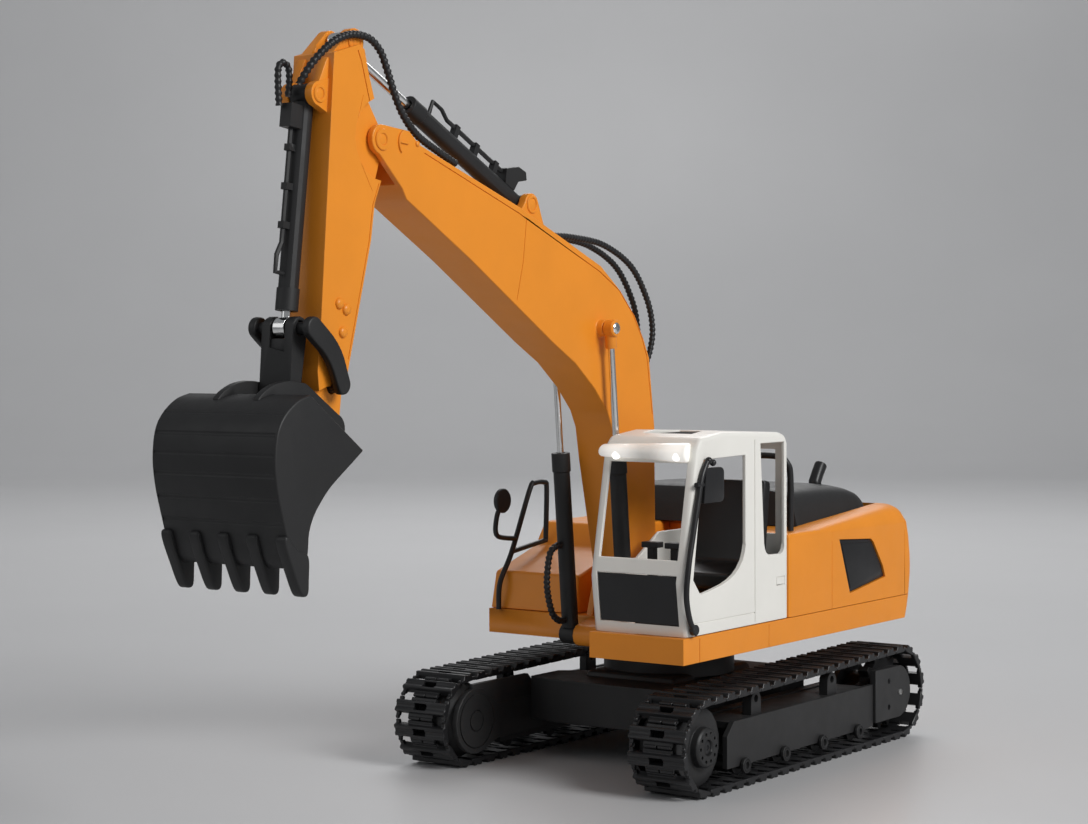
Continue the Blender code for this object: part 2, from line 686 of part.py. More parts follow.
def make_roller(side, label, number, place):
    """A flanged roller whose journals lie in the frame's notches, with a cap outside."""
    tread = ROLLER_AXIS_Z - BELT_THICKNESS - GAP
    journal = ROLLER_JOURNAL_RADIUS
    inside = INNER_PLATE_OUT + FRAME_PLATE + 2.0 * MM
    start = inside - FRAME_PLATE
    body_in = inside + RUNNING_GAP
    body_out = FRAME_OUT - FRAME_PLATE - RUNNING_GAP
    cap_in = FRAME_OUT + RUNNING_GAP
    cap_out = TRACK_OVERALL_WIDTH / 2 - 1.8 * MM
    waist = tread - 1.4 * MM
    profile = [
        (0.0, cap_out), (3.6 * MM, cap_out), (3.6 * MM, cap_in), (journal, cap_in), (journal, body_out),
        (tread, body_out), (waist, body_out - 4 * MM), (waist, body_in + 4 * MM), (tread, body_in),
        (journal, body_in), (journal, start), (0.0, start),
    ]
    return turned(f"bottom_roller_{label}_{number}", side_profile(side, profile),
                  (0.0, place, ROLLER_AXIS_Z), dark_plastic, "x", 10)


def make_drive_cover(side, label):
    """The round-ended cover over the final drive, outside the sprocket."""
    low = FRAME_OUT - FRAME_PLATE + RUNNING_GAP
    inner, outer = side_span(side, low, low + COVER_THICKNESS)
    front = -FRAME_LENGTH / 2 - 1.8 * MM + FRAME_LENGTH + GAP
    centre = (SPROCKET_Y, SPROCKET_TRACK_RADIUS)
    outline = (
        [(front, centre[1] - COVER_RADIUS)]
        + arc(centre, COVER_RADIUS, -90, 90, 14)
        + [(front, centre[1] + COVER_RADIUS)]
    )
    return round_edges(prism(f"drive_cover_{label}", outline, inner, outer, grey_plastic), 0.7 * MM, 1, 60)


def make_drive_motor(side, label):
    """A can motor lying in the track frame's channel, with its pinion towards the sprocket."""
    top = FRAME_TOP_Z - FRAME_PLATE - 1.0 * MM - GAP
    rear = SPROCKET_Y - SPROCKET_BELT_RADIUS - 6.0 * MM
    front = rear - MOTOR_LENGTH
    profile = [
        (0.0, rear + 5 * MM), (1.2 * MM, rear + 5 * MM), (1.2 * MM, rear), (MOTOR_RADIUS - 0.6 * MM, rear),
        (MOTOR_RADIUS, rear - 0.6 * MM), (MOTOR_RADIUS, front), (2.0 * MM, front), (2.0 * MM, front - 2 * MM),
        (0.0, front - 2 * MM),
    ]
    return turned(f"drive_motor_{label}", profile, (side * TRACK_X, 0.0, top - MOTOR_RADIUS), steel, "y", 16)


def make_tracks(root):
    for side, label in ((1, "left"), (-1, "right")):
        span = side_span(side, TRACK_X - PAD_WIDTH / 2, TRACK_X + PAD_WIDTH / 2)
        belt = prism(f"track_belt_{label}", belt_outline(), *span, black_plastic,
                     holes=[belt_inner_outline()])
        settle_rounds(cut(belt, belt_windows("belt_windows", side * TRACK_X)))
        carry(root, belt, make_track_frame(side, label), make_drive_cover(side, label),
              make_drive_motor(side, label))
        idler_axis = pivot(f"idler_axis_{label}", (side * TRACK_X, IDLER_Y, IDLER_TRACK_RADIUS), root)
        carry(idler_axis, make_idler(side, label))
        sprocket_axis = pivot(f"sprocket_axis_{label}", (side * TRACK_X, SPROCKET_Y, SPROCKET_TRACK_RADIUS), root)
        carry(sprocket_axis, make_sprocket(side, label))
        for number, place in enumerate(roller_places(), 1):
            axis = pivot(f"roller_axis_{label}_{number}", (side * TRACK_X, place, ROLLER_AXIS_Z), root)
            carry(axis, make_roller(side, label, number, place))


# Chassis

def make_chassis(root):
    """A block with four arms to the track frames and the turntable on top."""
    reach = INNER_PLATE_IN - GAP
    half = CHASSIS_LENGTH / 2
    waist = CHASSIS_WAIST / 2
    arm = half - ARM_LENGTH
    plan = [
        (waist, -arm + 6 * MM), (waist, arm - 6 * MM), (reach, arm + 4 * MM), (reach, half - 4 * MM),
        (waist, half), (-waist, half), (-reach, half - 4 * MM), (-reach, arm + 4 * MM),
        (-waist, arm - 6 * MM), (-waist, -arm + 6 * MM), (-reach, -arm - 4 * MM), (-reach, -half + 4 * MM),
        (-waist, -half), (waist, -half), (reach, -half + 4 * MM), (reach, -arm - 4 * MM),
    ]
    frame = prism("chassis_frame", plan, CHASSIS_BOTTOM_Z, CHASSIS_TOP_Z - CHASSIS_ARM_STEP, grey_plastic, "xy")
    deck_gap = DECK_BOTTOM_Z - 4.0 * MM - GAP
    raised = [(x * 0.82, y * 0.66) for x, y in
              ((waist, -half), (waist, half), (-waist, half), (-waist, -half))]
    block = round_edges(prism("chassis_block", raised, CHASSIS_BOTTOM_Z + 2 * MM, CHASSIS_TOP_Z, plane="xy"),
                        3 * MM, 2, 60)
    ring = turned("turntable", [
        (TURNTABLE_RADIUS - 2 * MM, deck_gap), (TURNTABLE_RADIUS, deck_gap - 2 * MM),
        (TURNTABLE_RADIUS, CHASSIS_TOP_Z - 2 * MM), (SPIGOT_RADIUS - 2 * MM, CHASSIS_TOP_Z - 2 * MM),
        (SPIGOT_RADIUS - 2 * MM, deck_gap),
    ], (0, 0, 0), axis="z", steps=26)
    bore = turned("spigot_bore", [
        (0.0, deck_gap + 2 * MM), (SPIGOT_RADIUS + RUNNING_GAP, deck_gap + 2 * MM),
        (SPIGOT_RADIUS + RUNNING_GAP, deck_gap - SPIGOT_DEPTH - RUNNING_GAP),
        (0.0, deck_gap - SPIGOT_DEPTH - RUNNING_GAP),
    ], (0, 0, 0), axis="z", steps=16)
    slot = [size / 2 + RUNNING_GAP for size in SWITCH_SIZE]
    switch_y = BATTERY_COVER_SIZE[1] / 2 + 8 * MM
    pocket = box("switch_pocket", (-slot[0] - SWITCH_TRAVEL, switch_y - slot[1], CHASSIS_BOTTOM_Z - 2 * MM),
                 (slot[0], switch_y + slot[1], CHASSIS_BOTTOM_Z + SWITCH_SIZE[2] - 1.5 * MM + GAP))
    cut(join(frame, block, ring), bore, pocket)
    across, length = BATTERY_COVER_SIZE
    cover = box("battery_cover", (-across / 2, -length / 2, CHASSIS_BOTTOM_Z - GAP - BATTERY_COVER_THICKNESS),
                (across / 2, length / 2, CHASSIS_BOTTOM_Z - GAP), grey_plastic)
    round_edges(cover, 0.6 * MM, 1)
    low = CHASSIS_BOTTOM_Z - 1.5 * MM
    switch = box("power_switch", (-SWITCH_SIZE[0] / 2, switch_y - SWITCH_SIZE[1] / 2, low),
                 (SWITCH_SIZE[0] / 2, switch_y + SWITCH_SIZE[1] / 2, low + SWITCH_SIZE[2]), black_plastic)
    round_edges(switch, 0.4 * MM, 1)
    carry(root, frame, cover)
    carry(pivot("switch_slide", (0, switch_y, CHASSIS_BOTTOM_Z), root), switch)


# Deck and house

def rear_drop(z):
    """How far the counterweight's bulging back lies in front of its rearmost line at this height."""
    return (z - COUNTERWEIGHT_BULGE_Z) ** 2 / (2 * COUNTERWEIGHT_BULGE_RADIUS)


def rear_outline():
    """The rounded back in plan, from the left side to the right."""
    corner = HOUSE_HALF_WIDTH - REAR_CORNER_RADIUS
    left = arc((corner, HOUSE_REAR_Y - REAR_BOW - REAR_CORNER_RADIUS), REAR_CORNER_RADIUS, 0, 80, 5)
    return left + [(0.0, HOUSE_REAR_Y)] + mirrored(left)


def bulge_back(obj, cuts=4):
    """Curves the back of a house piece in the vertical plane."""
    work = bmesh.new()
    work.from_mesh(obj.data)
    heights = [vert.co.z for vert in work.verts]
    low, high = min(heights), max(heights)
    levels = [low + (high - low) * step / cuts for step in range(1, cuts)]
    if low < COUNTERWEIGHT_BULGE_Z < high:
        levels.append(COUNTERWEIGHT_BULGE_Z)
    for level in levels:
        geometry = work.verts[:] + work.edges[:] + work.faces[:]
        bmesh.ops.bisect_plane(work, geom=geometry, plane_co=(0, 0, level), plane_no=(0, 0, 1))
    start = HOUSE_REAR_Y - COUNTERWEIGHT_BULGE_REACH
    for vert in work.verts:
        if vert.co.y > start:
            share = (vert.co.y - start) / COUNTERWEIGHT_BULGE_REACH
            vert.co.y -= rear_drop(vert.co.z) * share
    work.to_mesh(obj.data)
    work.free()
    return obj


def deck_plan():
    left = CAB_INNER_X
    return (
        [(left, CAB_FRONT_Y), (HOUSE_HALF_WIDTH, CAB_FRONT_Y)]
        + rear_outline()
        + [(-HOUSE_HALF_WIDTH, DECK_FRONT_Y), (left, DECK_FRONT_Y)]
    )


def make_deck(upper):
    """The base with its skirt, the slewing spigot, the boom's bracket and the cylinders' pin."""
    deck = bulge_back(prism("deck", deck_plan(), DECK_BOTTOM_Z, DECK_TOP_Z, orange_plastic, "xy"), 2)
    split_faces(deck)
    recess = prism("deck_recess", offset(deck_plan(), 2.5 * MM), DECK_BOTTOM_Z - 5 * MM,
                   DECK_TOP_Z - 3.5 * MM, plane="xy")
    split_faces(bulge_back(recess, 2))
    hub_top = DECK_TOP_Z - 2.5 * MM
    foot = DECK_BOTTOM_Z - 4.0 * MM
    hub = turned("slew_hub", [
        (0.0, hub_top), (TURNTABLE_RADIUS, hub_top), (TURNTABLE_RADIUS, foot), (SPIGOT_RADIUS, foot),
        (SPIGOT_RADIUS, foot - SPIGOT_DEPTH + GAP), (0.0, foot - SPIGOT_DEPTH + GAP),
    ], (0, 0, 0), axis="z", steps=22)
    cut(deck, recess)
    join(deck, hub)
    lug = BOOM_HALF_WIDTH + RUNNING_GAP
    base = DECK_TOP_Z - 2 * MM
    foot_y = BOOM_FOOT[0]
    outline = (
        [(foot_y - 13 * MM, base), (foot_y + 13 * MM, base)]
        + arc(BOOM_FOOT, BOOM_FOOT_RADIUS - 1.5 * MM, 10, 170, 6)
    )
    for side in (1, -1):
        span = side_span(side, lug, lug + 3.2 * MM)
        join(deck, prism("boom_bracket", outline, *span))
    join(deck, pin("boom_foot_pin", PIN_RADIUS, -lug - 4.4 * MM, lug + 4.4 * MM, BOOM_FOOT))
    nose = [
        (DECK_FRONT_Y + 4 * MM, DECK_BOTTOM_Z), (DECK_FRONT_Y + 4 * MM, DECK_TOP_Z),
        (DECK_FRONT_Y, DECK_TOP_Z - 1 * MM),
    ] + arc(BOOM_CYLINDER_FOOT, 5.0 * MM, 90, 270, 6)
    inner = CYLINDER_X - EYE_HALF_WIDTH - RUNNING_GAP
    join(deck, prism("cylinder_nose", nose, -inner, inner))
    end = CYLINDER_X + EYE_HALF_WIDTH
    join(deck, pin("cylinder_foot_pin", PIN_RADIUS - 0.4 * MM, -end, end, BOOM_CYLINDER_FOOT))
    carry(upper, settle_rounds(deck))


def house_plan():
    """Behind the cab on the left and across the whole back."""
    inner = CAB_INNER_X + GAP
    front = CAB_REAR_Y + GAP
    return (
        [(inner, front), (HOUSE_HALF_WIDTH, front)]
        + rear_outline()
        + [(-HOUSE_HALF_WIDTH, WELL_REAR_Y), (inner, WELL_REAR_Y)]
    )


def crown_height(x, y):
    """How far the counterweight's rounded top stands above the house at a place."""
    start = CAB_REAR_Y + 20 * MM if x > 0 else WELL_REAR_Y + 2 * MM
    peak = HOOD_REAR_Y + GAP
    edge = HOUSE_REAR_Y - rear_drop(HOUSE_TOP_Z) - REAR_BOW - 2.2 * MM
    along = (y - start) / (peak - start) if y < peak else math.sqrt(max(0.0, 1 - ((y - peak) / (edge - peak)) ** 2))
    out = max(0.0, abs(x) - HOOD_HALF_WIDTH - GAP) / CROWN_SHOULDER
    return CROWN_HEIGHT * along * math.sqrt(max(0.0, 1 - out ** 2)) - 0.2 * MM


def make_crown():
    """The counterweight's rounded top, which rises towards the back beside and behind the hood."""
    inner = HOOD_HALF_WIDTH + GAP
    columns = [inner + CROWN_SHOULDER * share for share in (0.0, 0.45, 0.75, 0.93, 1.0)]
    columns = [-x for x in reversed(columns)] + columns
    peak = HOOD_REAR_Y + GAP
    edge = HOUSE_REAR_Y - rear_drop(HOUSE_TOP_Z) - REAR_BOW - 2.2 * MM
    rows = [CAB_REAR_Y + 20 * MM, WELL_REAR_Y + 2 * MM] + [peak + (edge - peak) * s for s in (0.0, 0.5, 0.8, 1.0)]
    work = bmesh.new()
    grid = []
    for y in rows:
        grid.append([work.verts.new((x, y, HOUSE_TOP_Z + crown_height(x, y))) for x in columns])
    for row in range(len(rows) - 1):
        for column in range(len(columns) - 1):
            beside = abs(columns[column] + columns[column + 1]) / 2 > inner
            on_left = columns[column] > 0
            if rows[row] >= peak - 1e-6 or (beside and (on_left or rows[row] >= WELL_REAR_Y)):
                work.faces.new((grid[row][column], grid[row][column + 1],
                                grid[row + 1][column + 1], grid[row + 1][column]))
    loose = [vert for vert in work.verts if not vert.link_faces]
    bmesh.ops.delete(work, geom=loose, context="VERTS")
    skirt = bmesh.ops.extrude_face_region(work, geom=work.faces[:])
    for element in skirt["geom"]:
        if isinstance(element, bmesh.types.BMVert):
            element.co.z = HOUSE_TOP_Z - 1.0 * MM
    bmesh.ops.triangulate(work, faces=work.faces)
    bmesh.ops.recalc_face_normals(work, faces=work.faces)
    mesh = bpy.data.meshes.new("house_crown")
    work.to_mesh(mesh)
    work.free()
    return add_object("house_crown", mesh, None, True)


def grille_outline():
    return [(51.9 * MM, 73.9 * MM), (87.4 * MM, 78.7 * MM), (85.0 * MM, 84.0 * MM), (75.5 * MM, 96.0 * MM),
            (73.0 * MM, 97.8 * MM), (41.6 * MM, 99.7 * MM)]


def make_house(upper):
    """The moulded cover behind the cab: thin walls, open below, with a hole under the hood."""
    low = DECK_TOP_Z + GAP
    shell = bulge_back(prism("house_shell", house_plan(), low, HOUSE_TOP_Z, orange_plastic, "xy"))
    round_edges(shell, 2.2 * MM, 2, 50, low)
    inside = prism("house_inside", offset(house_plan(), HOUSE_WALL), low - 5 * MM, HOUSE_TOP_Z - HOUSE_WALL,
                   plane="xy")
    split_faces(bulge_back(inside))
    mouth = HOOD_HALF_WIDTH - 6 * MM
    opening = box("hood_opening", (-mouth, WELL_REAR_Y + 8 * MM, HOUSE_TOP_Z - 10 * MM),
                  (mouth, HOOD_REAR_Y - 8 * MM, HOUSE_TOP_Z + 5 * MM))
    recess = prism("grille_recess", offset(grille_outline(), -GAP), HOUSE_HALF_WIDTH - GRILLE_DEPTH,
                   HOUSE_HALF_WIDTH + 5 * MM)
    join(shell, make_crown())
    cut(shell, inside, opening, recess)
    grille = prism("side_grille", grille_outline(), HOUSE_HALF_WIDTH - GRILLE_DEPTH + GAP,
                   HOUSE_HALF_WIDTH - 0.3 * MM, dark_plastic)
    bottom, top = 74 * MM, 99 * MM
    for number in range(LOUVRE_COUNT):
        level = bottom + (top - bottom) * (number + 0.75) / LOUVRE_COUNT
        slot = [(30 * MM, level), (100 * MM, level), (100 * MM, level + 1.0 * MM), (30 * MM, level + 1.0 * MM)]
        cut(grille, prism("louvre", slot, HOUSE_HALF_WIDTH - 0.8 * MM, HOUSE_HALF_WIDTH + 5 * MM))
    hood = make_hood()
    carry(upper, shell, grille, hood, make_exhaust(), make_tank())


def make_hood():
    """The engine cover: a thin shell with sloping sides, open below."""
    low = HOUSE_TOP_Z + GAP
    high = low + HOOD_HEIGHT
    half = HOOD_HALF_WIDTH
    plan = [(-half, HOOD_FRONT_Y), (half, HOOD_FRONT_Y), (half, HOOD_REAR_Y), (-half, HOOD_REAR_Y)]
    hood = prism("engine_hood", plan, low, high, dark_plastic, "xy")
    slope_top(hood, low, high)
    round_edges(hood, 4.0 * MM, 3, 40, low)
    inside = prism("hood_inside", offset(plan, HOOD_WALL), low - 2 * MM, high - HOOD_WALL, plane="xy")
    slope_top(inside, low - 2 * MM, high - HOOD_WALL)
    return cut(hood, round_edges(inside, 3.0 * MM, 2, 40))


def slope_top(obj, low, high):
    """Draws the top of a box in from its sides and from its back, and lets it fall towards the back."""
    for vert in obj.data.vertices:
        if vert.co.z > (low + high) / 2:
            vert.co.x -= math.copysign(HOOD_SIDE_SLOPE, vert.co.x)
            if vert.co.y > (HOOD_FRONT_Y + HOOD_REAR_Y) / 2:
                vert.co.y -= HOOD_BACK_SLOPE
                vert.co.z -= HOOD_FALL


def hood_top(y):
    """The height of the hood's falling top."""
    share = (y - HOOD_FRONT_Y) / (HOOD_REAR_Y - HOOD_BACK_SLOPE - HOOD_FRONT_Y)
    return HOUSE_TOP_Z + GAP + HOOD_HEIGHT - HOOD_FALL * share


def make_exhaust():
    """A stub pipe that leans back out of the hood."""
    x, y = EXHAUST_PLACE
    foot = hood_top(y - EXHAUST_RADIUS) + GAP
    points = [(x, y, foot), (x, y, foot + 1.5 * MM), (x, y + 3.2 * MM, foot + 6.0 * MM),
              (x, y + 6.0 * MM, foot + 9.5 * MM)]
    return tube("exhaust_pipe", points, EXHAUST_RADIUS, black_plastic, 4)


def tank_profile():
    low = DECK_TOP_Z + GAP
    front = DECK_FRONT_Y + 1.0 * MM
    rear = WELL_REAR_Y - GAP
    return [(front, low), (rear, low), (rear, HOUSE_TOP_Z), (front + 44 * MM, HOUSE_TOP_Z),
            (front + 36 * MM, HOUSE_TOP_Z - 11 * MM), (front + 4 * MM, HOUSE_TOP_Z - 21 * MM)]


def make_tank():
    """The housing beside the boom, with its stepped front for climbing up."""
    outer = -HOUSE_HALF_WIDTH
    inner = -CAB_INNER_X
    tank = prism("right_tank", tank_profile(), outer, inner, orange_plastic)
    round_edges(tank, 1.4 * MM, 2, 25, DECK_TOP_Z + GAP)
    hollow = offset(tank_profile(), HOUSE_WALL)
    low = DECK_TOP_Z - 3 * MM
    hollow[0] = (hollow[0][0], low)
    hollow[1] = (hollow[1][0], low)
    return cut(tank, prism("tank_inside", hollow, outer + HOUSE_WALL, inner - HOUSE_WALL))


# Cab

def cab_front(z):
    """The cab's front line: it leans out to the chin and back to the roof."""
    foot_z = DECK_TOP_Z + GAP
    if z < CAB_CHIN_Z:
        share = (CAB_CHIN_Z - z) / (CAB_CHIN_Z - foot_z)
        return CAB_FRONT_Y + 6.7 * MM * share
    share = (z - CAB_CHIN_Z) / (CAB_ROOF_Z - CAB_CHIN_Z)
    return CAB_FRONT_Y + 12.2 * MM * share


def cab_profile():
    low = DECK_TOP_Z + GAP
    shoulder = CAB_ROOF_Z - 5 * MM
    return [
        (cab_front(low), low), (CAB_REAR_Y, low), (CAB_REAR_Y, shoulder),
        (CAB_REAR_Y - 2.0 * MM, CAB_ROOF_Z - 1.0 * MM), (CAB_REAR_Y - 7 * MM, CAB_ROOF_Z),
        (cab_front(CAB_ROOF_Z) + 22 * MM, CAB_ROOF_Z + 2.0 * MM), (cab_front(CAB_ROOF_Z) + 3 * MM, CAB_ROOF_Z),
        (cab_front(shoulder), shoulder), (CAB_FRONT_Y, CAB_CHIN_Z),
    ]


def front_opening(bottom, top, side_gap):
    """An opening in the cab's front between two heights, as (x, z)."""
    left, right = CAB_INNER_X + side_gap, HOUSE_HALF_WIDTH - side_gap
    return [(left, bottom), (right, bottom), (right, top), (left, top)]


def door_window():
    """The door's window: straight at the front and top, with a sweeping lower rear corner."""
    front, rear = CAB_FRONT_Y + 8.2 * MM, CAB_FRONT_Y + 51.5 * MM
    top = CAB_ROOF_Z - 9.0 * MM
    sweep = arc((rear - 18 * MM, SILL_Z + 4 * MM), 18 * MM, -62, 0, 6)
    return [(front, SILL_Z - 6 * MM), (front + 6 * MM, SILL_Z - 12.5 * MM)] + sweep + [
        (rear, top), (front + 8.5 * MM, top - 0.6 * MM)]


def rear_side_window():
    front, rear = CAB_REAR_Y - 25 * MM, CAB_REAR_Y - 4.0 * MM
    top = CAB_ROOF_Z - 4.5 * MM
    return [(front + 3.5 * MM, SILL_Z), (rear, SILL_Z - 0.5 * MM), (rear, top), (front, top)]


def make_cab(upper):
    """A thin-walled cab, open below, with its windows cut right through."""
    inner, outer = CAB_INNER_X, HOUSE_HALF_WIDTH
    cab = prism("cab_shell", cab_profile(), inner, outer, cream_plastic)
    round_edges(cab, 2.4 * MM, 2, 30, DECK_TOP_Z + GAP)
    hollow = offset(cab_profile(), CAB_WALL)
    low = DECK_TOP_Z - 5 * MM
    hollow[0] = (hollow[0][0], low)
    hollow[1] = (hollow[1][0], low)
    inside = prism("cab_inside", hollow, inner + CAB_WALL, outer - CAB_WALL)
    ahead, behind = CAB_FRONT_Y - 5 * MM, CAB_FRONT_Y + 24 * MM
    screen_top = CAB_ROOF_Z - 11.0 * MM
    screen = prism("screen_opening", front_opening(SILL_Z + 2.5 * MM, screen_top, PILLAR), ahead, behind,
                   plane="xz")
    chin_top = SILL_Z + 2.5 * MM - CROSSBAR
    chin = front_opening(DECK_TOP_Z + 4.8 * MM, chin_top, PILLAR - 0.4 * MM)
    lower = prism("lower_opening", chin, ahead, behind, plane="xz")
    door = prism("door_window", door_window(), outer - 4 * MM, outer + 4 * MM)
    rear_side = prism("rear_side_window", rear_side_window(), outer - 4 * MM, outer + 4 * MM)
    right = [(CAB_FRONT_Y + 17 * MM, SILL_Z - 1 * MM), (CAB_FRONT_Y + 36 * MM, SILL_Z - 1 * MM),
             (CAB_FRONT_Y + 54 * MM, SILL_Z + 9.4 * MM), (CAB_REAR_Y - 4 * MM, SILL_Z + 9.4 * MM),
             (CAB_REAR_Y - 4 * MM, CAB_ROOF_Z - 6 * MM), (CAB_FRONT_Y + 21 * MM, CAB_ROOF_Z - 8 * MM)]
    right_window = prism("right_window", right, inner - 4 * MM, inner + 4 * MM)
    back = prism("back_window", front_opening(SILL_Z + 8 * MM, CAB_ROOF_Z - 8 * MM, PILLAR + 2 * MM),
                 CAB_REAR_Y - 4 * MM, CAB_REAR_Y + 4 * MM, plane="xz")
    middle = (inner + outer) / 2
    hatch_y = CAB_FRONT_Y + 40 * MM
    hatch_low = (middle - HATCH_SIZE[0] / 2, hatch_y - HATCH_SIZE[1] / 2)
    hatch_high = (middle + HATCH_SIZE[0] / 2, hatch_y + HATCH_SIZE[1] / 2)
    roof_hole = box("hatch_opening", (hatch_low[0], hatch_low[1], CAB_ROOF_Z - 4 * MM),
                    (hatch_high[0], hatch_high[1], CAB_ROOF_Z + 6 * MM))
    cut(cab, inside, screen, lower, door, rear_side, right_window, back, roof_hole)
    hatch = box("roof_hatch", (hatch_low[0] + GAP, hatch_low[1] + GAP, CAB_ROOF_Z - 1.4 * MM),
                (hatch_high[0] - GAP, hatch_high[1] - GAP, CAB_ROOF_Z + 0.4 * MM), dark_plastic)
    panel = prism("lower_windscreen", offset(chin, GAP), -0.6 * MM, 0.6 * MM, dark_plastic, "xz")
    for vert in panel.data.vertices:
        vert.co.y += cab_front(vert.co.z) + 0.9 * MM
    carry(upper, cab, hatch, panel, make_light_bar(screen_top), make_seat(), make_levers(),
          make_cab_rail(), make_rear_rail(), make_tank_rail())


def make_light_bar(screen_top):
    """The visor that carries the two work lights, along the top of the windscreen."""
    low = screen_top - 0.5 * MM
    high = low + LIGHT_BAR_HEIGHT
    front = cab_front(low) - LIGHT_BAR_REACH
    profile = [
        (cab_front(low) - GAP, low), (cab_front(high) - GAP, high), (front + 3.5 * MM, high - 0.4 * MM),
        (front, high - 3.2 * MM), (front + 1.0 * MM, low + 0.6 * MM),
    ]
    bar = prism("light_bar", profile, CAB_INNER_X - 0.6 * MM, HOUSE_HALF_WIDTH - 1.6 * MM, cream_plastic)
    return round_edges(bar, 1.0 * MM, 2, 30)


def make_seat():
    """The driver's seat: base, cushion and high back in one wide moulding that stands on the deck."""
    base = DECK_TOP_Z + GAP
    top = base + SEAT_HEIGHT
    front = CAB_FRONT_Y + 48 * MM
    profile = [
        (front + 4 * MM, base), (front + 28 * MM, base), (front + 31 * MM, base + 16 * MM),
        (front + 37 * MM, top - 1 * MM), (front + 31 * MM, top), (front + 24 * MM, base + 26 * MM),
        (front, base + 23 * MM), (front, base + 16 * MM), (front + 4 * MM, base + 14 * MM),
    ]
    middle = (CAB_INNER_X + HOUSE_HALF_WIDTH) / 2
    seat = prism("cab_seat", profile, middle - SEAT_HALF_WIDTH, middle + SEAT_HALF_WIDTH, black_plastic)
    return round_edges(seat, 1.6 * MM, 2, 30)


def make_levers():
    """A floor console with the two T-shaped control levers."""
    base = DECK_TOP_Z + GAP
    front = CAB_FRONT_Y + 18 * MM
    middle = (CAB_INNER_X + HOUSE_HALF_WIDTH) / 2
    console = box("cab_levers", (middle - 13 * MM, front, base), (middle + 13 * MM, front + 9 * MM, base + 8 * MM),
                  black_plastic)
    round_edges(console, 1.0 * MM, 1)
    top = SILL_Z + 8 * MM
    for side in (-1, 1):
        x = middle + side * 6.0 * MM
        stem = box("lever_stem", (x - 1.8 * MM, front + 3 * MM, base + 5 * MM),
                   (x + 1.8 * MM, front + 6 * MM, top - 1 * MM))
        head = box("lever_head", (x - 4.2 * MM, front + 2 * MM, top - 2.5 * MM),
                   (x + 4.2 * MM, front + 7 * MM, top))
        join(console, stem, head)
    return console


def make_cab_rail():
    """The bent grab rail along the windscreen pillar, with the left mirror's plate on it."""
    x = HOUSE_HALF_WIDTH + GAP + RAIL_RADIUS
    bends = ((-90.9, 71.5), (-94.0, 76.5), (-96.2, 86.0), (-94.3, 99.0), (-91.0, 111.0), (-87.0, 125.0),
             (-83.6, 136.0), (-78.5, 143.5))
    points = [(x, y * MM, z * MM) for y, z in bends]
    rail = tube_mesh("rail_bar", smooth_route(points, 3), RAIL_RADIUS)
    plate = [(-82.0 * MM, 139.5 * MM), (-84.0 * MM, 124.5 * MM)] + arc((-70 * MM, 127 * MM), 2.5 * MM, -90, 0, 3)
    plate += arc((-70 * MM, 137 * MM), 2.5 * MM, 0, 90, 3)
    mirror = prism("cab_rail", plate, x - 1.0 * MM, x + 1.4 * MM, black_plastic)
    foot = pin("rail_foot", 2.4 * MM, x - RAIL_RADIUS, x + RAIL_RADIUS, (-90.0 * MM, 71.0 * MM), steps=12)
    return settle_rounds(join(mirror, rail, foot))


def make_rear_rail():
    """A hoop standing on the house behind the cab."""
    y = CAB_REAR_Y + 12 * MM
    low, high = HOUSE_TOP_Z + GAP, CAB_ROOF_Z - 6 * MM
    left, right = HOUSE_HALF_WIDTH - 6 * MM, CAB_INNER_X + 20 * MM
    points = [(left, y, low), (left, y, high - 12 * MM), (left - 2 * MM, y - 5 * MM, high - 3 * MM),
              (left - 7 * MM, y - 6 * MM, high), (right + 7 * MM, y - 6 * MM, high),
              (right + 2 * MM, y - 5 * MM, high - 3 * MM), (right, y, high - 12 * MM), (right, y, low)]
    return tube("rear_rail", points, RAIL_RADIUS, black_plastic)


def make_tank_rail():
    """The climbing rail on the right with its cross bar and the round mirror on an arm."""
    x = -HOUSE_HALF_WIDTH + 7 * MM
    foot = (DECK_FRONT_Y - GAP - RAIL_RADIUS, DECK_TOP_Z)
    bends = [foot, (-50.5 * MM, 80 * MM), (-40.9 * MM, 94.3 * MM), (-26.5 * MM, 122.5 * MM),
             (-22.5 * MM, 125.6 * MM), (-14.5 * MM, 125.6 * MM), (-12.5 * MM, 122.5 * MM),
             (-13.5 * MM, HOUSE_TOP_Z - 8.5 * MM)]
    rail = tube_mesh("tank_rail_bar", [(x, y, z) for y, z in bends], RAIL_RADIUS)
    cross = tube_mesh("tank_rail_cross", [(x, -41.5 * MM, 94.0 * MM), (x, -13.2 * MM, 97.5 * MM)], RAIL_RADIUS)
    arm = tube_mesh("mirror_arm", [(x, -38.0 * MM, 100.0 * MM), (x, -50.5 * MM, 101.6 * MM),
                                   (x, -53.8 * MM, 104.5 * MM), (x, -52.9 * MM, 111.0 * MM), (x, -50.5 * MM, 115.5 * MM)],
                    RAIL_RADIUS * 0.8)
    disc = prism("tank_rail", circle((-48.4 * MM, 118.6 * MM), MIRROR_RADIUS, 20), x - 1.2 * MM, x + 1.2 * MM,
                 black_plastic)
    return settle_rounds(join(disc, arm, rail, cross))


# Inner works

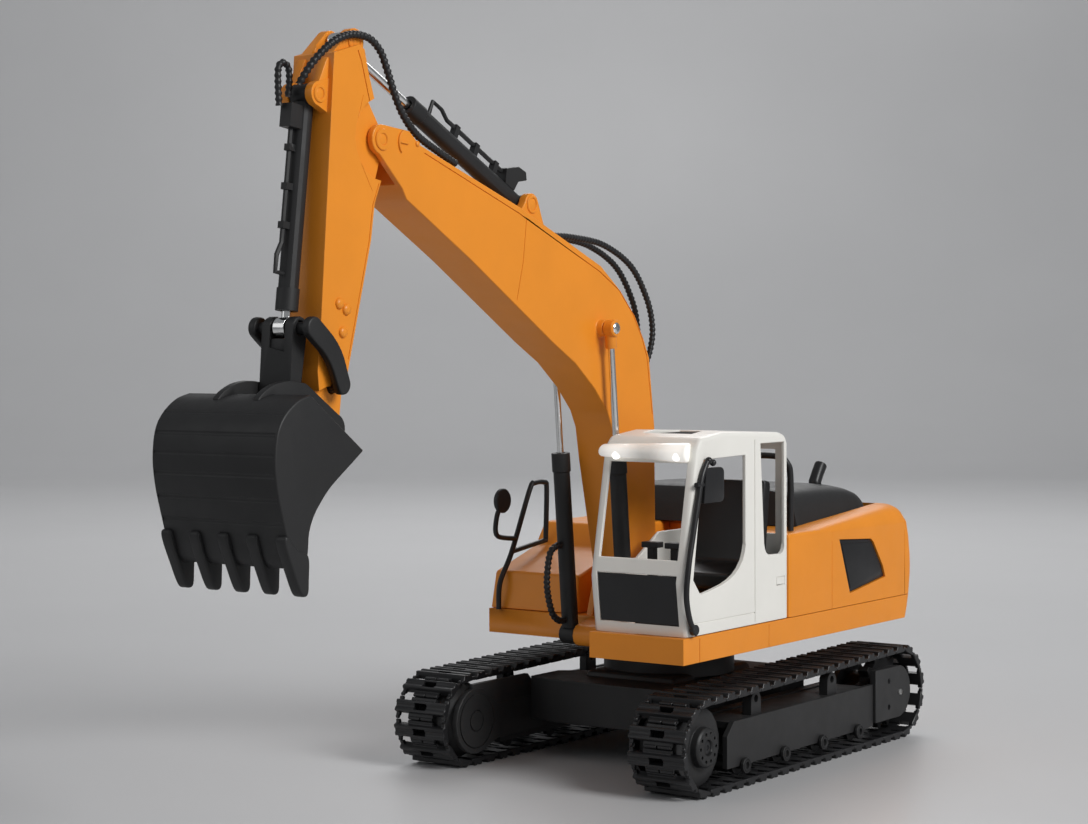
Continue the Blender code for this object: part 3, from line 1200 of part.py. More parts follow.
def make_inner_works(upper):
    """The battery, the control board and the slewing motor under the house."""
    floor = DECK_TOP_Z + GAP
    battery = box("battery_pack", (-30 * MM, 70 * MM, floor), (30 * MM, 100 * MM, floor + 18 * MM), grey_plastic)
    round_edges(battery, 2.0 * MM, 2)
    board = box("control_board", (-42 * MM, WELL_REAR_Y + 6 * MM, floor),
                (12 * MM, WELL_REAR_Y + 26 * MM, floor + 1.6 * MM), grey_plastic)
    top = floor + SLEW_MOTOR_HEIGHT
    profile = [(0.0, top), (SLEW_MOTOR_RADIUS, top), (SLEW_MOTOR_RADIUS, floor), (0.0, floor)]
    x = CAB_INNER_X + HOUSE_WALL + 1.5 * SLEW_MOTOR_RADIUS
    motor = turned("slew_motor", profile, (x, WELL_REAR_Y - 14 * MM, 0), steel, "z", 16)
    carry(upper, battery, board, motor)


# Boom

def boom_outline():
    """The cranked side of the boom, with points taken from its foot, knee and tip."""
    def near(anchor, *points):
        return [from_point(anchor, (y * MM, z * MM)) for y, z in points]
    foot_round = arc(BOOM_FOOT, BOOM_FOOT_RADIUS, 190, 350, 8)
    back = near(BOOM_KNEE, (27.7, -62.0), (23.4, -30.5), (18.9, -21.8), (11.6, -11.2), (0.0, 0.0), (-15.6, 10.8))
    crest = near(BOOM_KNEE, (-76.0, 34.2))
    top = near(BOOM_TIP, (23.2, -0.4), (16.9, 4.5))
    tip_round = arc(BOOM_TIP, 6.0 * MM, 80, 255, 10)
    jaw = near(BOOM_TIP, (12.3, -18.5), (14.9, -22.8), (56.3, -45.4))
    belly = near(BOOM_KNEE, (-52.7, -23.1), (-35.9, -32.2), (-21.2, -43.4), (-11.0, -53.9), (-7.0, -61.5),
                 (-4.2, -76.7))
    return foot_round + back + crest + top + tip_round + jaw + belly


def lug_outline(centre, base_front, base_rear):
    return [base_rear] + arc(centre, EYE_RADIUS + 0.6 * MM, 20, 170, 8) + [base_front]


def make_boom(boom_axis):
    """The main boom: a forked tip, lugs for the stick cylinder and bosses for its own cylinders."""
    boom = prism("boom", boom_outline(), -BOOM_HALF_WIDTH, BOOM_HALF_WIDTH, orange_plastic,
                 holes=[circle(BOOM_FOOT, PIN_RADIUS + RUNNING_GAP, 14)])
    slot_half = BOOM_HALF_WIDTH - FORK_PLATE
    slot = prism("fork_slot", circle(BOOM_TIP, FORK_DEPTH, 28), -slot_half, slot_half)
    cut(boom, slot)
    centre = STICK_CYLINDER_FOOT
    gap_half = EYE_HALF_WIDTH + RUNNING_GAP
    base_front = from_point(centre, (-8.5 * MM, -3.5 * MM))
    base_rear = from_point(centre, (10.5 * MM, -12.5 * MM))
    below = from_point(centre, (-8.5 * MM, -9.0 * MM))
    outline = lug_outline(centre, base_front, base_rear) + [below]
    for side in (1, -1):
        span = side_span(side, gap_half, gap_half + LUG_PLATE)
        join(boom, prism("stick_cylinder_lug", outline, *span))
        boss = side_span(side, BOOM_HALF_WIDTH - 1.0 * MM, CYLINDER_X - BOOM_ROD_RADIUS - GAP)
        join(boom, pin("cylinder_boss", ROD_KNUCKLE_RADIUS, *boss, BOOM_CYLINDER_EYE, steps=18))
    join(boom, pin("stick_cylinder_pin", PIN_RADIUS - 0.6 * MM, -gap_half - LUG_PLATE + 0.5 * MM,
                   gap_half + LUG_PLATE - 0.5 * MM, centre))
    join(boom, pin("stick_pin", PIN_RADIUS, -BOOM_HALF_WIDTH + 0.6 * MM, BOOM_HALF_WIDTH - 0.6 * MM, BOOM_TIP))
    carry(boom_axis, settle_rounds(boom))


# Cylinders

def cylinder_turn(foot, eye):
    """The turn that lays a shape made along +Y on the line from foot to eye."""
    angle = math.atan2(eye[1] - foot[1], eye[0] - foot[0])
    return Matrix.Translation((0, *foot)) @ Matrix.Rotation(angle, 4, "X")


def lay(mesh, foot, eye, x):
    """Moves a mesh made along +Y at x = 0 on to a cylinder's line."""
    mesh.transform(Matrix.Translation((x, 0, 0)) @ cylinder_turn(foot, eye))


def round_bar_mesh(radius, start, stop, steps=16):
    """A round bar along +Y."""
    mesh = bpy.data.meshes.new("bar")
    work = bmesh.new()
    middle = Matrix.Translation((0, (start + stop) / 2, 0)) @ Matrix.Rotation(math.radians(90), 4, "X")
    bmesh.ops.create_cone(work, cap_ends=True, segments=steps, radius1=radius, radius2=radius,
                          depth=stop - start, matrix=middle)
    work.to_mesh(mesh)
    work.free()
    clean_mesh(mesh)
    return mesh


def laid_helper(name, mesh, foot, eye, x):
    lay(mesh, foot, eye, x)
    return add_object(name, mesh, helper=True)


def make_barrel(name, foot, eye, x, radius, length, bore_radius):
    """A cylinder barrel: a bored eye at its foot, a tube, and a gland collar at its mouth."""
    eye_mesh = prism_mesh(circle((0.0, 0.0), EYE_RADIUS, 14, 9), -EYE_HALF_WIDTH, EYE_HALF_WIDTH, "yz",
                          [circle((0.0, 0.0), bore_radius, 12)])
    lay(eye_mesh, foot, eye, x)
    barrel = add_object(name, eye_mesh, dark_plastic)
    start = EYE_RADIUS - 0.9 * MM
    body = laid_helper("barrel_body", round_bar_mesh(radius, start, length, 14), foot, eye, x)
    collar_mesh = round_bar_mesh(radius + 0.5 * MM, length - COLLAR_LENGTH, length + 0.6 * MM, 16)
    collar = laid_helper("barrel_collar", collar_mesh, foot, eye, x)
    return join(barrel, body, collar)


def bore_barrel(barrel, foot, eye, x, rod_radius, length):
    hole_mesh = round_bar_mesh(rod_radius + RUNNING_GAP, BORE_FLOOR, length + 5 * MM, 10)
    hole = laid_helper("barrel_bore", hole_mesh, foot, eye, x)
    return cut(barrel, hole)


def rod_start(retraction):
    """Where a rod's inner end lies at rest, from the foot pin, so that it stays clear of the bore's bottom."""
    return BORE_FLOOR + retraction + RUNNING_GAP


def rail_on_barrel(barrel, foot, eye, radius, length, height, block):
    """The hydraulic pipe along an arm cylinder: brackets, a hook at the front end and a valve block."""
    def side(points):
        return [(place, -lift) for place, lift in points]
    front = length * 0.84
    hook = height + 2.2 * MM
    route = [(12 * MM, height), (length * 0.70, height), (length * 0.76, hook), (front, hook), (front, radius - 0.8 * MM)]
    pipe = tube_mesh("pipe", [(0.0, place, -lift) for place, lift in route], PIPE_RADIUS)
    pipe.data.transform(cylinder_turn(foot, eye))
    shapes = [pipe]
    for share in (0.26, 0.44, 0.62):
        place = length * share
        top = height + PIPE_RADIUS + 0.35 * MM
        outline = side([(place - 1.3 * MM, radius - 1.0 * MM), (place - 1.3 * MM, top),
                        (place + 1.3 * MM, top), (place + 1.3 * MM, radius - 1.0 * MM)])
        half = PIPE_RADIUS + 0.45 * MM
        shapes.append(laid_helper("pipe_bracket", prism_mesh(outline, -half, half), foot, eye, 0.0))
    shapes.append(laid_helper("valve_block", prism_mesh(side(block), -2.8 * MM, 2.8 * MM), foot, eye, 0.0))
    return join(barrel, *shapes)


def make_boom_cylinders(boom_barrels, boom_rods):
    foot, eye = BOOM_CYLINDER_FOOT, BOOM_CYLINDER_EYE
    reach = (Vector(eye) - Vector(foot)).length
    for side, label in ((1, "left"), (-1, "right")):
        x = side * CYLINDER_X
        barrel = make_barrel(f"boom_barrel_{label}", foot, eye, x, BOOM_BARREL_RADIUS - 0.5 * MM,
                             BOOM_BARREL_LENGTH, PIN_RADIUS - 0.4 * MM + RUNNING_GAP)
        bore_barrel(barrel, foot, eye, x, BOOM_ROD_RADIUS, BOOM_BARREL_LENGTH)
        rod_mesh = round_bar_mesh(BOOM_ROD_RADIUS, rod_start(BOOM_ROD_RETRACTION), reach - 0.5 * MM, 12)
        lay(rod_mesh, foot, eye, x)
        rod = add_object(f"boom_rod_{label}", rod_mesh, steel)
        head = side_span(side, CYLINDER_X - BOOM_ROD_RADIUS - 0.1 * MM, CYLINDER_X + BOOM_ROD_RADIUS + 0.1 * MM)
        screw = side_span(side, CYLINDER_X + BOOM_ROD_RADIUS - 0.3 * MM, CYLINDER_X + BOOM_ROD_RADIUS + 2.0 * MM)
        knuckle = pin("rod_knuckle", ROD_KNUCKLE_RADIUS, *head, eye, steps=16)
        join(rod, knuckle, pin("rod_screw", ROD_KNUCKLE_RADIUS - 0.4 * MM, *screw, eye, steps=16))
        carry(boom_barrels[label], settle_rounds(barrel))
        carry(boom_rods[label], settle_rounds(rod))


def make_arm_rod(name, foot, eye, eye_half, retraction):
    """A chrome rod that ends in a plain eye. The eye turns between lugs whose stub pins stop beside it."""
    reach = (Vector(eye) - Vector(foot)).length
    mesh = round_bar_mesh(ARM_ROD_RADIUS, rod_start(retraction), reach - 2.5 * MM, 14)
    lay(mesh, foot, eye, 0.0)
    rod = add_object(name, mesh, steel)
    ring = prism("rod_ring", circle(eye, EYE_RADIUS, 18), -eye_half, eye_half)
    return settle_rounds(join(rod, ring))


def make_stick_cylinder(barrel_axis, rod_slide):
    foot, eye = STICK_CYLINDER_FOOT, STICK_ROD_EYE
    barrel = make_barrel("stick_barrel", foot, eye, 0.0, ARM_BARREL_RADIUS, STICK_BARREL_LENGTH,
                         PIN_RADIUS - 0.6 * MM + RUNNING_GAP)
    base = ARM_BARREL_RADIUS
    block = [(7.0 * MM, base - 1.0 * MM), (6.0 * MM, base + 4.0 * MM), (1.0 * MM, base + 7.5 * MM),
             (3.0 * MM, base + 10.5 * MM), (8.5 * MM, base + 10.0 * MM), (16.0 * MM, base + 5.0 * MM),
             (14.0 * MM, base - 1.0 * MM)]
    rail_on_barrel(barrel, foot, eye, base, STICK_BARREL_LENGTH, base + 3.9 * MM, block)
    bore_barrel(barrel, foot, eye, 0.0, ARM_ROD_RADIUS, STICK_BARREL_LENGTH)
    carry(barrel_axis, settle_rounds(barrel))
    carry(rod_slide, make_arm_rod("stick_rod", foot, eye, EYE_HALF_WIDTH - 1.0 * MM, STICK_ROD_RETRACTION))


def make_bucket_cylinder(barrel_axis, rod_slide):
    foot, eye = BUCKET_BARREL_FOOT, ROCKER_EYE
    barrel = make_barrel("bucket_barrel", foot, eye, 0.0, ARM_BARREL_RADIUS, BUCKET_BARREL_LENGTH,
                         PIN_RADIUS - 0.6 * MM + RUNNING_GAP)
    base = ARM_BARREL_RADIUS
    block = [(5.0 * MM, base - 1.0 * MM), (5.0 * MM, base + 5.4 * MM), (14.0 * MM, base + 5.4 * MM),
             (14.0 * MM, base - 1.0 * MM)]
    rail_on_barrel(barrel, foot, eye, base, BUCKET_BARREL_LENGTH, base + 1.9 * MM, block)
    bore_barrel(barrel, foot, eye, 0.0, ARM_ROD_RADIUS, BUCKET_BARREL_LENGTH)
    carry(barrel_axis, settle_rounds(barrel))
    carry(rod_slide, make_arm_rod("bucket_rod", foot, eye, EYE_HALF_WIDTH - 1.2 * MM, BUCKET_ROD_RETRACTION))


# Stick

def stick_outline():
    """The long tapering stick, with points taken from the boom tip and from its own pivots."""
    def from_tip(*points):
        return [from_point(TIP, (y * MM, z * MM)) for y, z in points]
    head = from_tip((-4.3, 14.3), (-8.2, 25.6), (-10.2, 34.1), (-13.5, 35.6))
    front = from_tip((-28.2, 31.2), (-36.7, -69.3))
    shin = [from_point(BUCKET, (-8.2 * MM, 22.0 * MM))]
    toe = arc(BUCKET, STICK_TIP_RADIUS, 175, 350, 7)
    heel = [from_point(BUCKET, (9.0 * MM, 20.5 * MM))]
    rear = from_tip((-7.1, -39.4), (-4.8, -25.2), (-0.2, -15.0))
    hub = arc(TIP, 6.2 * MM, -60, 75, 8)
    return head + front + shin + toe + heel + rear + hub


def head_lug_outline():
    """A plate that rises above the stick's shoulder round the rod's eye."""
    front = from_point(TIP, (-27.6 * MM, 30.6 * MM))
    rear = from_point(TIP, (-13.0 * MM, 24.0 * MM))
    return [front, rear] + arc(STICK_ROD_EYE, HEAD_LUG_RADIUS, -40, 130, 8)


def make_stick(stick_axis):
    """The stick: pockets beside the boom's fork and at its tip, a slot at its head and two front lugs."""
    half = BOOM_HALF_WIDTH
    stick = prism("stick", stick_outline(), -half, half, orange_plastic, holes=[
        circle(TIP, PIN_RADIUS + RUNNING_GAP, 14), circle(BUCKET, PIN_RADIUS + RUNNING_GAP, 14),
        circle(ROCKER, PIN_RADIUS - 0.4 * MM + RUNNING_GAP, 14)])
    core = half - FORK_PLATE - RUNNING_GAP
    lug = EYE_HALF_WIDTH + RUNNING_GAP
    for side in (1, -1):
        cheek = side_span(side, core, half + 5 * MM)
        cut(stick, prism("fork_pocket", circle(TIP, POCKET_RADIUS, 20), *cheek))
        toe = side_span(side, STICK_TIP_HALF_WIDTH, half + 5 * MM)
        cut(stick, prism("toe_pocket", circle(BUCKET, EAR_RADIUS + 10.0 * MM, 18), *toe))
        join(stick, prism("head_lug", head_lug_outline(), *side_span(side, EYE_HALF_WIDTH - 1.0 * MM, LUG_OUT)))
    head_slot = [from_point(STICK_ROD_EYE, (y * MM, z * MM)) for y, z in
                 ((-9.5, 9.5), (-9.5, -12.0), (-4.0, -20.0), (30.0, -20.0), (30.0, 9.5))]
    cut(stick, prism("head_slot", head_slot, -EYE_HALF_WIDTH, EYE_HALF_WIDTH))
    foot = BUCKET_BARREL_FOOT
    outline = arc(foot, EYE_RADIUS + 0.6 * MM, 100, 260, 8) + [
        from_point(foot, (9.0 * MM, -9.0 * MM)), from_point(foot, (9.0 * MM, 7.0 * MM))]
    for side in (1, -1):
        span = side_span(side, lug, lug + LUG_PLATE - 0.5 * MM)
        join(stick, prism("bucket_cylinder_lug", outline, *span))
    end = lug + LUG_PLATE - 1.0 * MM
    join(stick, pin("bucket_cylinder_pin", PIN_RADIUS - 0.6 * MM, -end, end, foot))
    carry(stick_axis, settle_rounds(stick))


# Bucket and its linkage

def bucket_outline():
    """The bucket's side: a rounded back from the upper lip to the cutting edge, and a hollow front edge."""
    def near(*points):
        return [from_point(BUCKET, (y * MM, z * MM)) for y, z in points]
    back = near((-5.9, -7.5), (-35.6, 14.0), (-42.5, 12.0), (-49.5, 7.0), (-53.6, 0.5))
    back += [from_point(BUCKET, (-BUCKET_BACK, -9.5 * MM))]
    back += near((-54.0, -19.0), (-51.6, -28.5), (-46.5, -45.0), (-43.6, -49.0))
    front = near((-38.5, -48.0), (-37.4, -43.0), (-36.7, -36.5), (-34.4, -31.0), (-30.8, -26.3), (-25.5, -21.0),
                 (-20.0, -17.0), (-12.5, -12.0))
    return back + front


def bucket_hollow():
    """The space inside: the back's outline moved in by the wall and carried out past the front edge."""
    whole = offset(bucket_outline(), BUCKET_WALL)
    back = whole[1:9]
    lip = from_point(BUCKET, (-41.0 * MM, -50.0 * MM))
    beyond = from_point(BUCKET, (0.0, -45.0 * MM))
    upper = from_point(BUCKET, (-1.0 * MM, -13.0 * MM))
    return back + [lip, beyond, upper]


def tooth_outline():
    def near(*points):
        return [from_point(BUCKET, (y * MM, z * MM)) for y, z in points]
    return near((-45.8, -43.0), (-44.6, -49.5), (-37.6, -58.6), (-36.6, -58.0), (-39.4, -47.0), (-41.0, -43.5))


def make_bucket(bucket_axis):
    """A hollow bucket with five teeth on its lip and two ears on its back."""
    wide = BUCKET_HALF_WIDTH
    bucket = prism("bucket", bucket_outline(), -wide, wide, dark_plastic)
    cut(bucket, prism("bucket_hollow", bucket_hollow(), -wide + BUCKET_WALL, wide - BUCKET_WALL))
    spacing = (2 * wide - TOOTH_WIDTH) / (BUCKET_TEETH - 1)
    for number in range(BUCKET_TEETH):
        middle = -wide + TOOTH_WIDTH / 2 + number * spacing
        half = TOOTH_WIDTH / 2 - (0.05 * MM if number in (0, BUCKET_TEETH - 1) else 0.0)
        join(bucket, prism("tooth", tooth_outline(), middle - half, middle + half))
    inner = STICK_TIP_HALF_WIDTH + RUNNING_GAP
    root = [from_point(BUCKET, (y * MM, z * MM)) for y, z in ((-30.0, 8.5), (-8.0, -7.6), (-3.0, -8.2))]
    ear = root + arc(BUCKET, EAR_RADIUS - 0.5 * MM, -80, 70, 8) + arc(LINK_PIN, EAR_RADIUS, 75, 190, 8)
    for side in (1, -1):
        join(bucket, prism("ear", ear, *side_span(side, inner, inner + EAR_PLATE)))
    join(bucket, pin("bucket_pin", PIN_RADIUS, -inner - EAR_PLATE + 0.4 * MM, inner + EAR_PLATE - 0.4 * MM, BUCKET))
    carry(bucket_axis, settle_rounds(bucket))


def make_rocker(rocker_axis):
    """Two curved arms on one pin through the stick, with stub pins for the bucket link."""
    angle = direction_angle(ROCKER, ROCKER_EYE)
    middle = Vector(along(ROCKER, ROCKER_EYE, 14 * MM))
    bow = Vector((math.cos(math.radians(angle - 90)), math.sin(math.radians(angle - 90)))) * 4.0 * MM
    outer = tuple(middle + bow * 2.0)
    inner = tuple(middle - bow * 0.15)
    outline = (arc(ROCKER, 4.4 * MM, angle - 250, angle - 90, 8) + [outer]
               + arc(ROCKER_EYE, 4.4 * MM, angle - 75, angle + 100, 8) + [inner])
    start = BOOM_HALF_WIDTH + 1.6 * MM
    pieces = []
    for side in (1, -1):
        pieces.append(side_span(side, start, start + ROCKER_ARM))
    arms = prism("rocker", outline, *pieces[0], dark_plastic)
    join(arms, prism("rocker_arm", outline, *pieces[1]))
    join(arms, pin("rocker_pin", PIN_RADIUS - 0.4 * MM, -start - 0.8 * MM, start + 0.8 * MM, ROCKER, steps=12))
    stub = EYE_HALF_WIDTH - 0.2 * MM
    for side in (1, -1):
        span = side_span(side, stub, start + 0.8 * MM)
        join(arms, pin("rocker_stub", PIN_RADIUS - 0.4 * MM, *span, ROCKER_EYE, steps=12))
    carry(rocker_axis, settle_rounds(arms))


def make_bucket_link(link_axis):
    """The H-shaped link from the rocker's stubs down to the bucket's ears, with a slot for the rod's eye."""
    angle = direction_angle(ROCKER_EYE, LINK_PIN)
    half = LINK_THICKNESS / 2
    outline = (arc(ROCKER_EYE, half + 1.4 * MM, angle + 100, angle + 260, 8)
               + arc(LINK_PIN, half, angle - 90, angle + 90, 8))
    link = prism("bucket_link", outline, -LINK_HALF_WIDTH, LINK_HALF_WIDTH, dark_plastic,
                 holes=[circle(ROCKER_EYE, PIN_RADIUS - 0.4 * MM + RUNNING_GAP, 14)])
    deep = EYE_RADIUS + 4.5 * MM
    slot_end = along(ROCKER_EYE, LINK_PIN, deep)
    turn = math.radians(angle)
    across = Vector((-math.sin(turn), math.cos(turn))) * 12 * MM
    start = Vector(along(ROCKER_EYE, LINK_PIN, -12 * MM))
    stop = Vector(slot_end)
    slot = [tuple(start + across), tuple(start - across), tuple(stop - across), tuple(stop + across)]
    cut(link, prism("rod_slot", slot, -EYE_HALF_WIDTH + 0.2 * MM, EYE_HALF_WIDTH - 0.2 * MM))
    carry(link_axis, settle_rounds(link))


# Hoses

def make_hoses(boom_axis, stick_axis, bucket_barrel_axis, right_barrel_axis):
    """Corrugated leads and hoses that the arm carries along its length."""
    def route(x, *points):
        return smooth_route([(x, y * MM, z * MM) for y, z in points], 3)
    lead = [(7.0, -172.0, 266.9), (7.6, -184.0, 271.0), (8.2, -197.0, 276.0), (9.4, -206.6, 282.0),
            (9.9, -213.0, 289.5), (10.0, -219.1, 301.3), (10.0, -222.8, 307.5), (10.0, -229.0, 311.6),
            (10.0, -237.0, 312.4), (10.0, -244.5, 311.0), (9.8, -252.6, 307.0), (7.0, -259.5, 299.5),
            (3.0, -262.6, 291.5)]
    lead = smooth_route([(x * MM, y * MM, z * MM) for x, y, z in lead], 3)
    carry(stick_axis, tube("stick_lead", lead, 1.6 * MM, black_plastic))
    loop = route(-2.0 * MM, (-268.1, 283.4), (-268.6, 292.0), (-268.3, 297.0), (-265.6, 300.0), (-262.7, 297.0),
                 (-262.4, 292.0), (-263.2, 287.2))
    carry(bucket_barrel_axis, tube("bucket_lead", loop, 1.4 * MM, black_plastic))
    for side, label in ((1, "left"), (-1, "right")):
        hose = route(side * 4.2 * MM, (-98.0, 239.9), (-83.0, 239.6), (-60.0, 237.0), (-38.0, 228.0), (-24.5, 213.0),
                     (-20.0, 200.0), (-22.0, 189.5), (-28.0, 180.5))
        carry(boom_axis, tube(f"boom_hose_{label}", hose, 1.5 * MM, black_plastic))
    x = -CYLINDER_X
    foot = route(x, (-66.9, 101.2), (-71.0, 100.9), (-75.5, 97.0), (-77.5, 84.0), (-74.0, 72.0), (-69.0, 67.4),
                 (-63.9, 66.8))
    carry(right_barrel_axis, tube("foot_lead", foot, 1.6 * MM, black_plastic))


def shade_rounds():
    """Smooth shading on round faces, with the sharp edges kept."""
    for obj in [*parts.objects, *cutters.objects]:
        if obj.type == "MESH":
            obj.data.shade_smooth()
            obj.data.set_sharp_from_angle(angle=math.radians(35))


def main():
    root = pivot("undercarriage", (0, 0, 0))
    upper = pivot("slew_axis", (0, 0, DECK_BOTTOM_Z), root)
    boom_axis = pivot("boom_axis", (0, *BOOM_FOOT), upper)
    stick_axis = pivot("stick_axis", (0, *BOOM_TIP), boom_axis)
    bucket_axis = pivot("bucket_axis", (0, *BUCKET), stick_axis)
    rocker_axis = pivot("rocker_axis", (0, *ROCKER), stick_axis)
    link_axis = pivot("link_axis", (0, *ROCKER_EYE), rocker_axis)
    stick_barrel_axis = pivot("stick_barrel_axis", (0, *STICK_CYLINDER_FOOT), boom_axis)
    stick_rod_slide = pivot("stick_rod_slide", (0, *STICK_ROD_EYE), stick_barrel_axis)
    bucket_barrel_axis = pivot("bucket_barrel_axis", (0, *BUCKET_BARREL_FOOT), stick_axis)
    bucket_rod_slide = pivot("bucket_rod_slide", (0, *ROCKER_EYE), bucket_barrel_axis)
    boom_barrels = {}
    boom_rods = {}
    for side, label in ((1, "left"), (-1, "right")):
        x = side * CYLINDER_X
        boom_barrels[label] = pivot(f"boom_barrel_axis_{label}", (x, *BOOM_CYLINDER_FOOT), upper)
        boom_rods[label] = pivot(f"boom_rod_slide_{label}", (x, *BOOM_CYLINDER_EYE), boom_barrels[label])
    make_tracks(root)
    make_chassis(root)
    make_deck(upper)
    make_house(upper)
    make_cab(upper)
    make_inner_works(upper)
    make_boom(boom_axis)
    make_boom_cylinders(boom_barrels, boom_rods)
    make_stick(stick_axis)
    make_stick_cylinder(stick_barrel_axis, stick_rod_slide)
    make_bucket_cylinder(bucket_barrel_axis, bucket_rod_slide)
    make_bucket(bucket_axis)
    make_rocker(rocker_axis)
    make_bucket_link(link_axis)
    make_hoses(boom_axis, stick_axis, bucket_barrel_axis, boom_barrels["right"])
    shade_rounds()


main()
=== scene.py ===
"""The toy crawler excavator: its looks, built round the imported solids.

The frame is in metres: +X is the machine's left, -Y its front and +Z up. Places measured on the machine are
written in millimetres with Y counted from the slew axis, and spot() carries them into the frame.
"""

import json
from math import atan2, copysign, cos, degrees, hypot, pi, radians, sin

import bmesh
import bpy
from mathutils import Matrix, Vector
from mathutils.bvhtree import BVHTree
from mathutils.geometry import intersect_point_line

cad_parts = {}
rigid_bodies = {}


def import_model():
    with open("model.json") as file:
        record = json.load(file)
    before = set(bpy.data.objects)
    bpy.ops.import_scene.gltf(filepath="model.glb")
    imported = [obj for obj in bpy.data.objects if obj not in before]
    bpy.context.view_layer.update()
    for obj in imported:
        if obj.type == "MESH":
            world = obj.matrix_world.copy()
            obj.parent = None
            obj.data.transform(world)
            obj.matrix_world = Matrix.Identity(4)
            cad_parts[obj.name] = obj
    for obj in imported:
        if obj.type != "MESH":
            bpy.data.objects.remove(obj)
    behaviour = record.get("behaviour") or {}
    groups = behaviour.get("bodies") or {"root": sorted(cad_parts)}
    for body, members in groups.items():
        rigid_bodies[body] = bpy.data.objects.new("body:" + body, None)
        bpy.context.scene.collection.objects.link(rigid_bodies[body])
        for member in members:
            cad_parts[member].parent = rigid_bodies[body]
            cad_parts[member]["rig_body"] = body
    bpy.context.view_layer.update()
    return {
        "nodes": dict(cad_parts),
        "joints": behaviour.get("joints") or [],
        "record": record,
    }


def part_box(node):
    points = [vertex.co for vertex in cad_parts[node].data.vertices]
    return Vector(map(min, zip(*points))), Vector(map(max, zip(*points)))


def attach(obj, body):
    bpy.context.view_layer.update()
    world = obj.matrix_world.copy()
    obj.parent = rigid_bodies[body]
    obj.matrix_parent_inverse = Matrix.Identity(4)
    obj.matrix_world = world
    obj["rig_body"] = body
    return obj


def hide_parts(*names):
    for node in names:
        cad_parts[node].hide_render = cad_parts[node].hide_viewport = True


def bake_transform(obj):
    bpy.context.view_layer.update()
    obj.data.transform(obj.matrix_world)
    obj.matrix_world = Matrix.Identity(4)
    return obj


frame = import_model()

MM = 0.001
nodes = frame["nodes"]
slot_of = {row["node"]: row["material_slot"] for row in frame["record"]["subparts"]}
axis_of = {joint["name"]: Vector(joint["pos_m"]) for joint in frame["joints"]}
SLEW_Y = axis_of["slew"].y
ACROSS = Vector((1, 0, 0))
SIDES = ((1, "left"), (-1, "right"))

# Measures of the solids, in millimetres
BOOM_SIDE = 10.3
BOOM_TIP = (-222.2, 273.1)
BUCKET_PIN = (-253, 161)
BUCKET_FOOT = (-256.3, 288.3)
STICK_FOOT = (-120.4, 252.4)
STICK_EYE = (-235.5, 310)
BOOM_EYE = (-71.5, 199.5)
CYLINDER_X = 15.4
ROCKER = (-250.9, 176.8)
ROCKER_EYE = (-268, 199.5)
LINK_PIN = (-271.5, 172.5)
CAB_SIDE = 69.0
RAIL_RADIUS = 1.25
TRACK_X = 63.8
PAD_WIDTH = 28.4
WHEEL_BASE = 178.6
IDLER_RADIUS = 17.8
SPROCKET_RADIUS = 19.2
SHOE_HEIGHT = 3.5


def spot(x, y, z):
    """A place in millimetres, with Y from the slew axis, as a point of the frame."""
    return Vector((x * MM, y * MM + SLEW_Y, z * MM))


# Materials

ORANGE = (0.80, 0.27, 0.022)
CREAM = (0.80, 0.785, 0.735)
BLACK = (0.012, 0.012, 0.013)
DARK = (0.018, 0.018, 0.0185)
GREY = (0.024, 0.024, 0.0245)
RUBBER = (0.011, 0.011, 0.012)
CHROME = (0.80, 0.80, 0.79)
STEEL = (0.52, 0.52, 0.51)
LAMP_WHITE = (1.0, 0.97, 0.92)
# Scales of the noises, in cells to a metre, and depths of their bumps
CLOUD_SCALE = 38
GLOSS_SCALE = 130
GRAIN_SCALE = 2600
LINE_SCALE = 900
GRAIN_DEPTH = 0.03 * MM
LINE_DEPTH = 0.01 * MM


def feed(tree, node, settings):
    """Sets a shader node's inputs, or links them where the value is another node's output."""
    for name, value in settings.items():
        if isinstance(value, bpy.types.NodeSocket):
            tree.links.new(value, node.inputs[name])
        else:
            node.inputs[name].default_value = value
    return node


def add(tree, kind, settings):
    """A new shader node with its inputs."""
    return feed(tree, tree.nodes.new("ShaderNode" + kind), settings)


def noise(tree, where, scale, detail):
    return add(tree, "TexNoise", {"Vector": where, "Scale": scale, "Detail": detail}).outputs["Fac"]


def spread(tree, value, low, high):
    """Maps the middle of a noise's range on to low to high."""
    ends = {"Value": value, "From Min": 0.3, "From Max": 0.7, "To Min": low, "To Max": high}
    return add(tree, "MapRange", ends).outputs["Result"]


def shaded(colour, share):
    """A colour made darker or lighter, with its alpha."""
    return tuple(min(1.0, channel * share) for channel in colour) + (1.0,)


def mottled(tree, value, colour, amount):
    """Two near shades of one colour, mixed by a noise."""
    ramp = add(tree, "ValToRGB", {"Fac": value})
    dark, light = ramp.color_ramp.elements
    dark.position, light.position = 0.32, 0.68
    dark.color, light.color = shaded(colour, 1 - amount), shaded(colour, 1 + amount)
    return ramp.outputs["Color"]


def bumped(tree, value, strength, distance):
    return add(tree, "Bump", {"Height": value, "Strength": strength, "Distance": distance}).outputs["Normal"]


def blank(name):
    """A new material, with its node tree, its shader and the place on the object."""
    material = bpy.data.materials.new(name)
    material.use_nodes = True
    tree = material.node_tree
    where = tree.nodes.new("ShaderNodeTexCoord").outputs["Object"]
    return material, tree, tree.nodes["Principled BSDF"], where


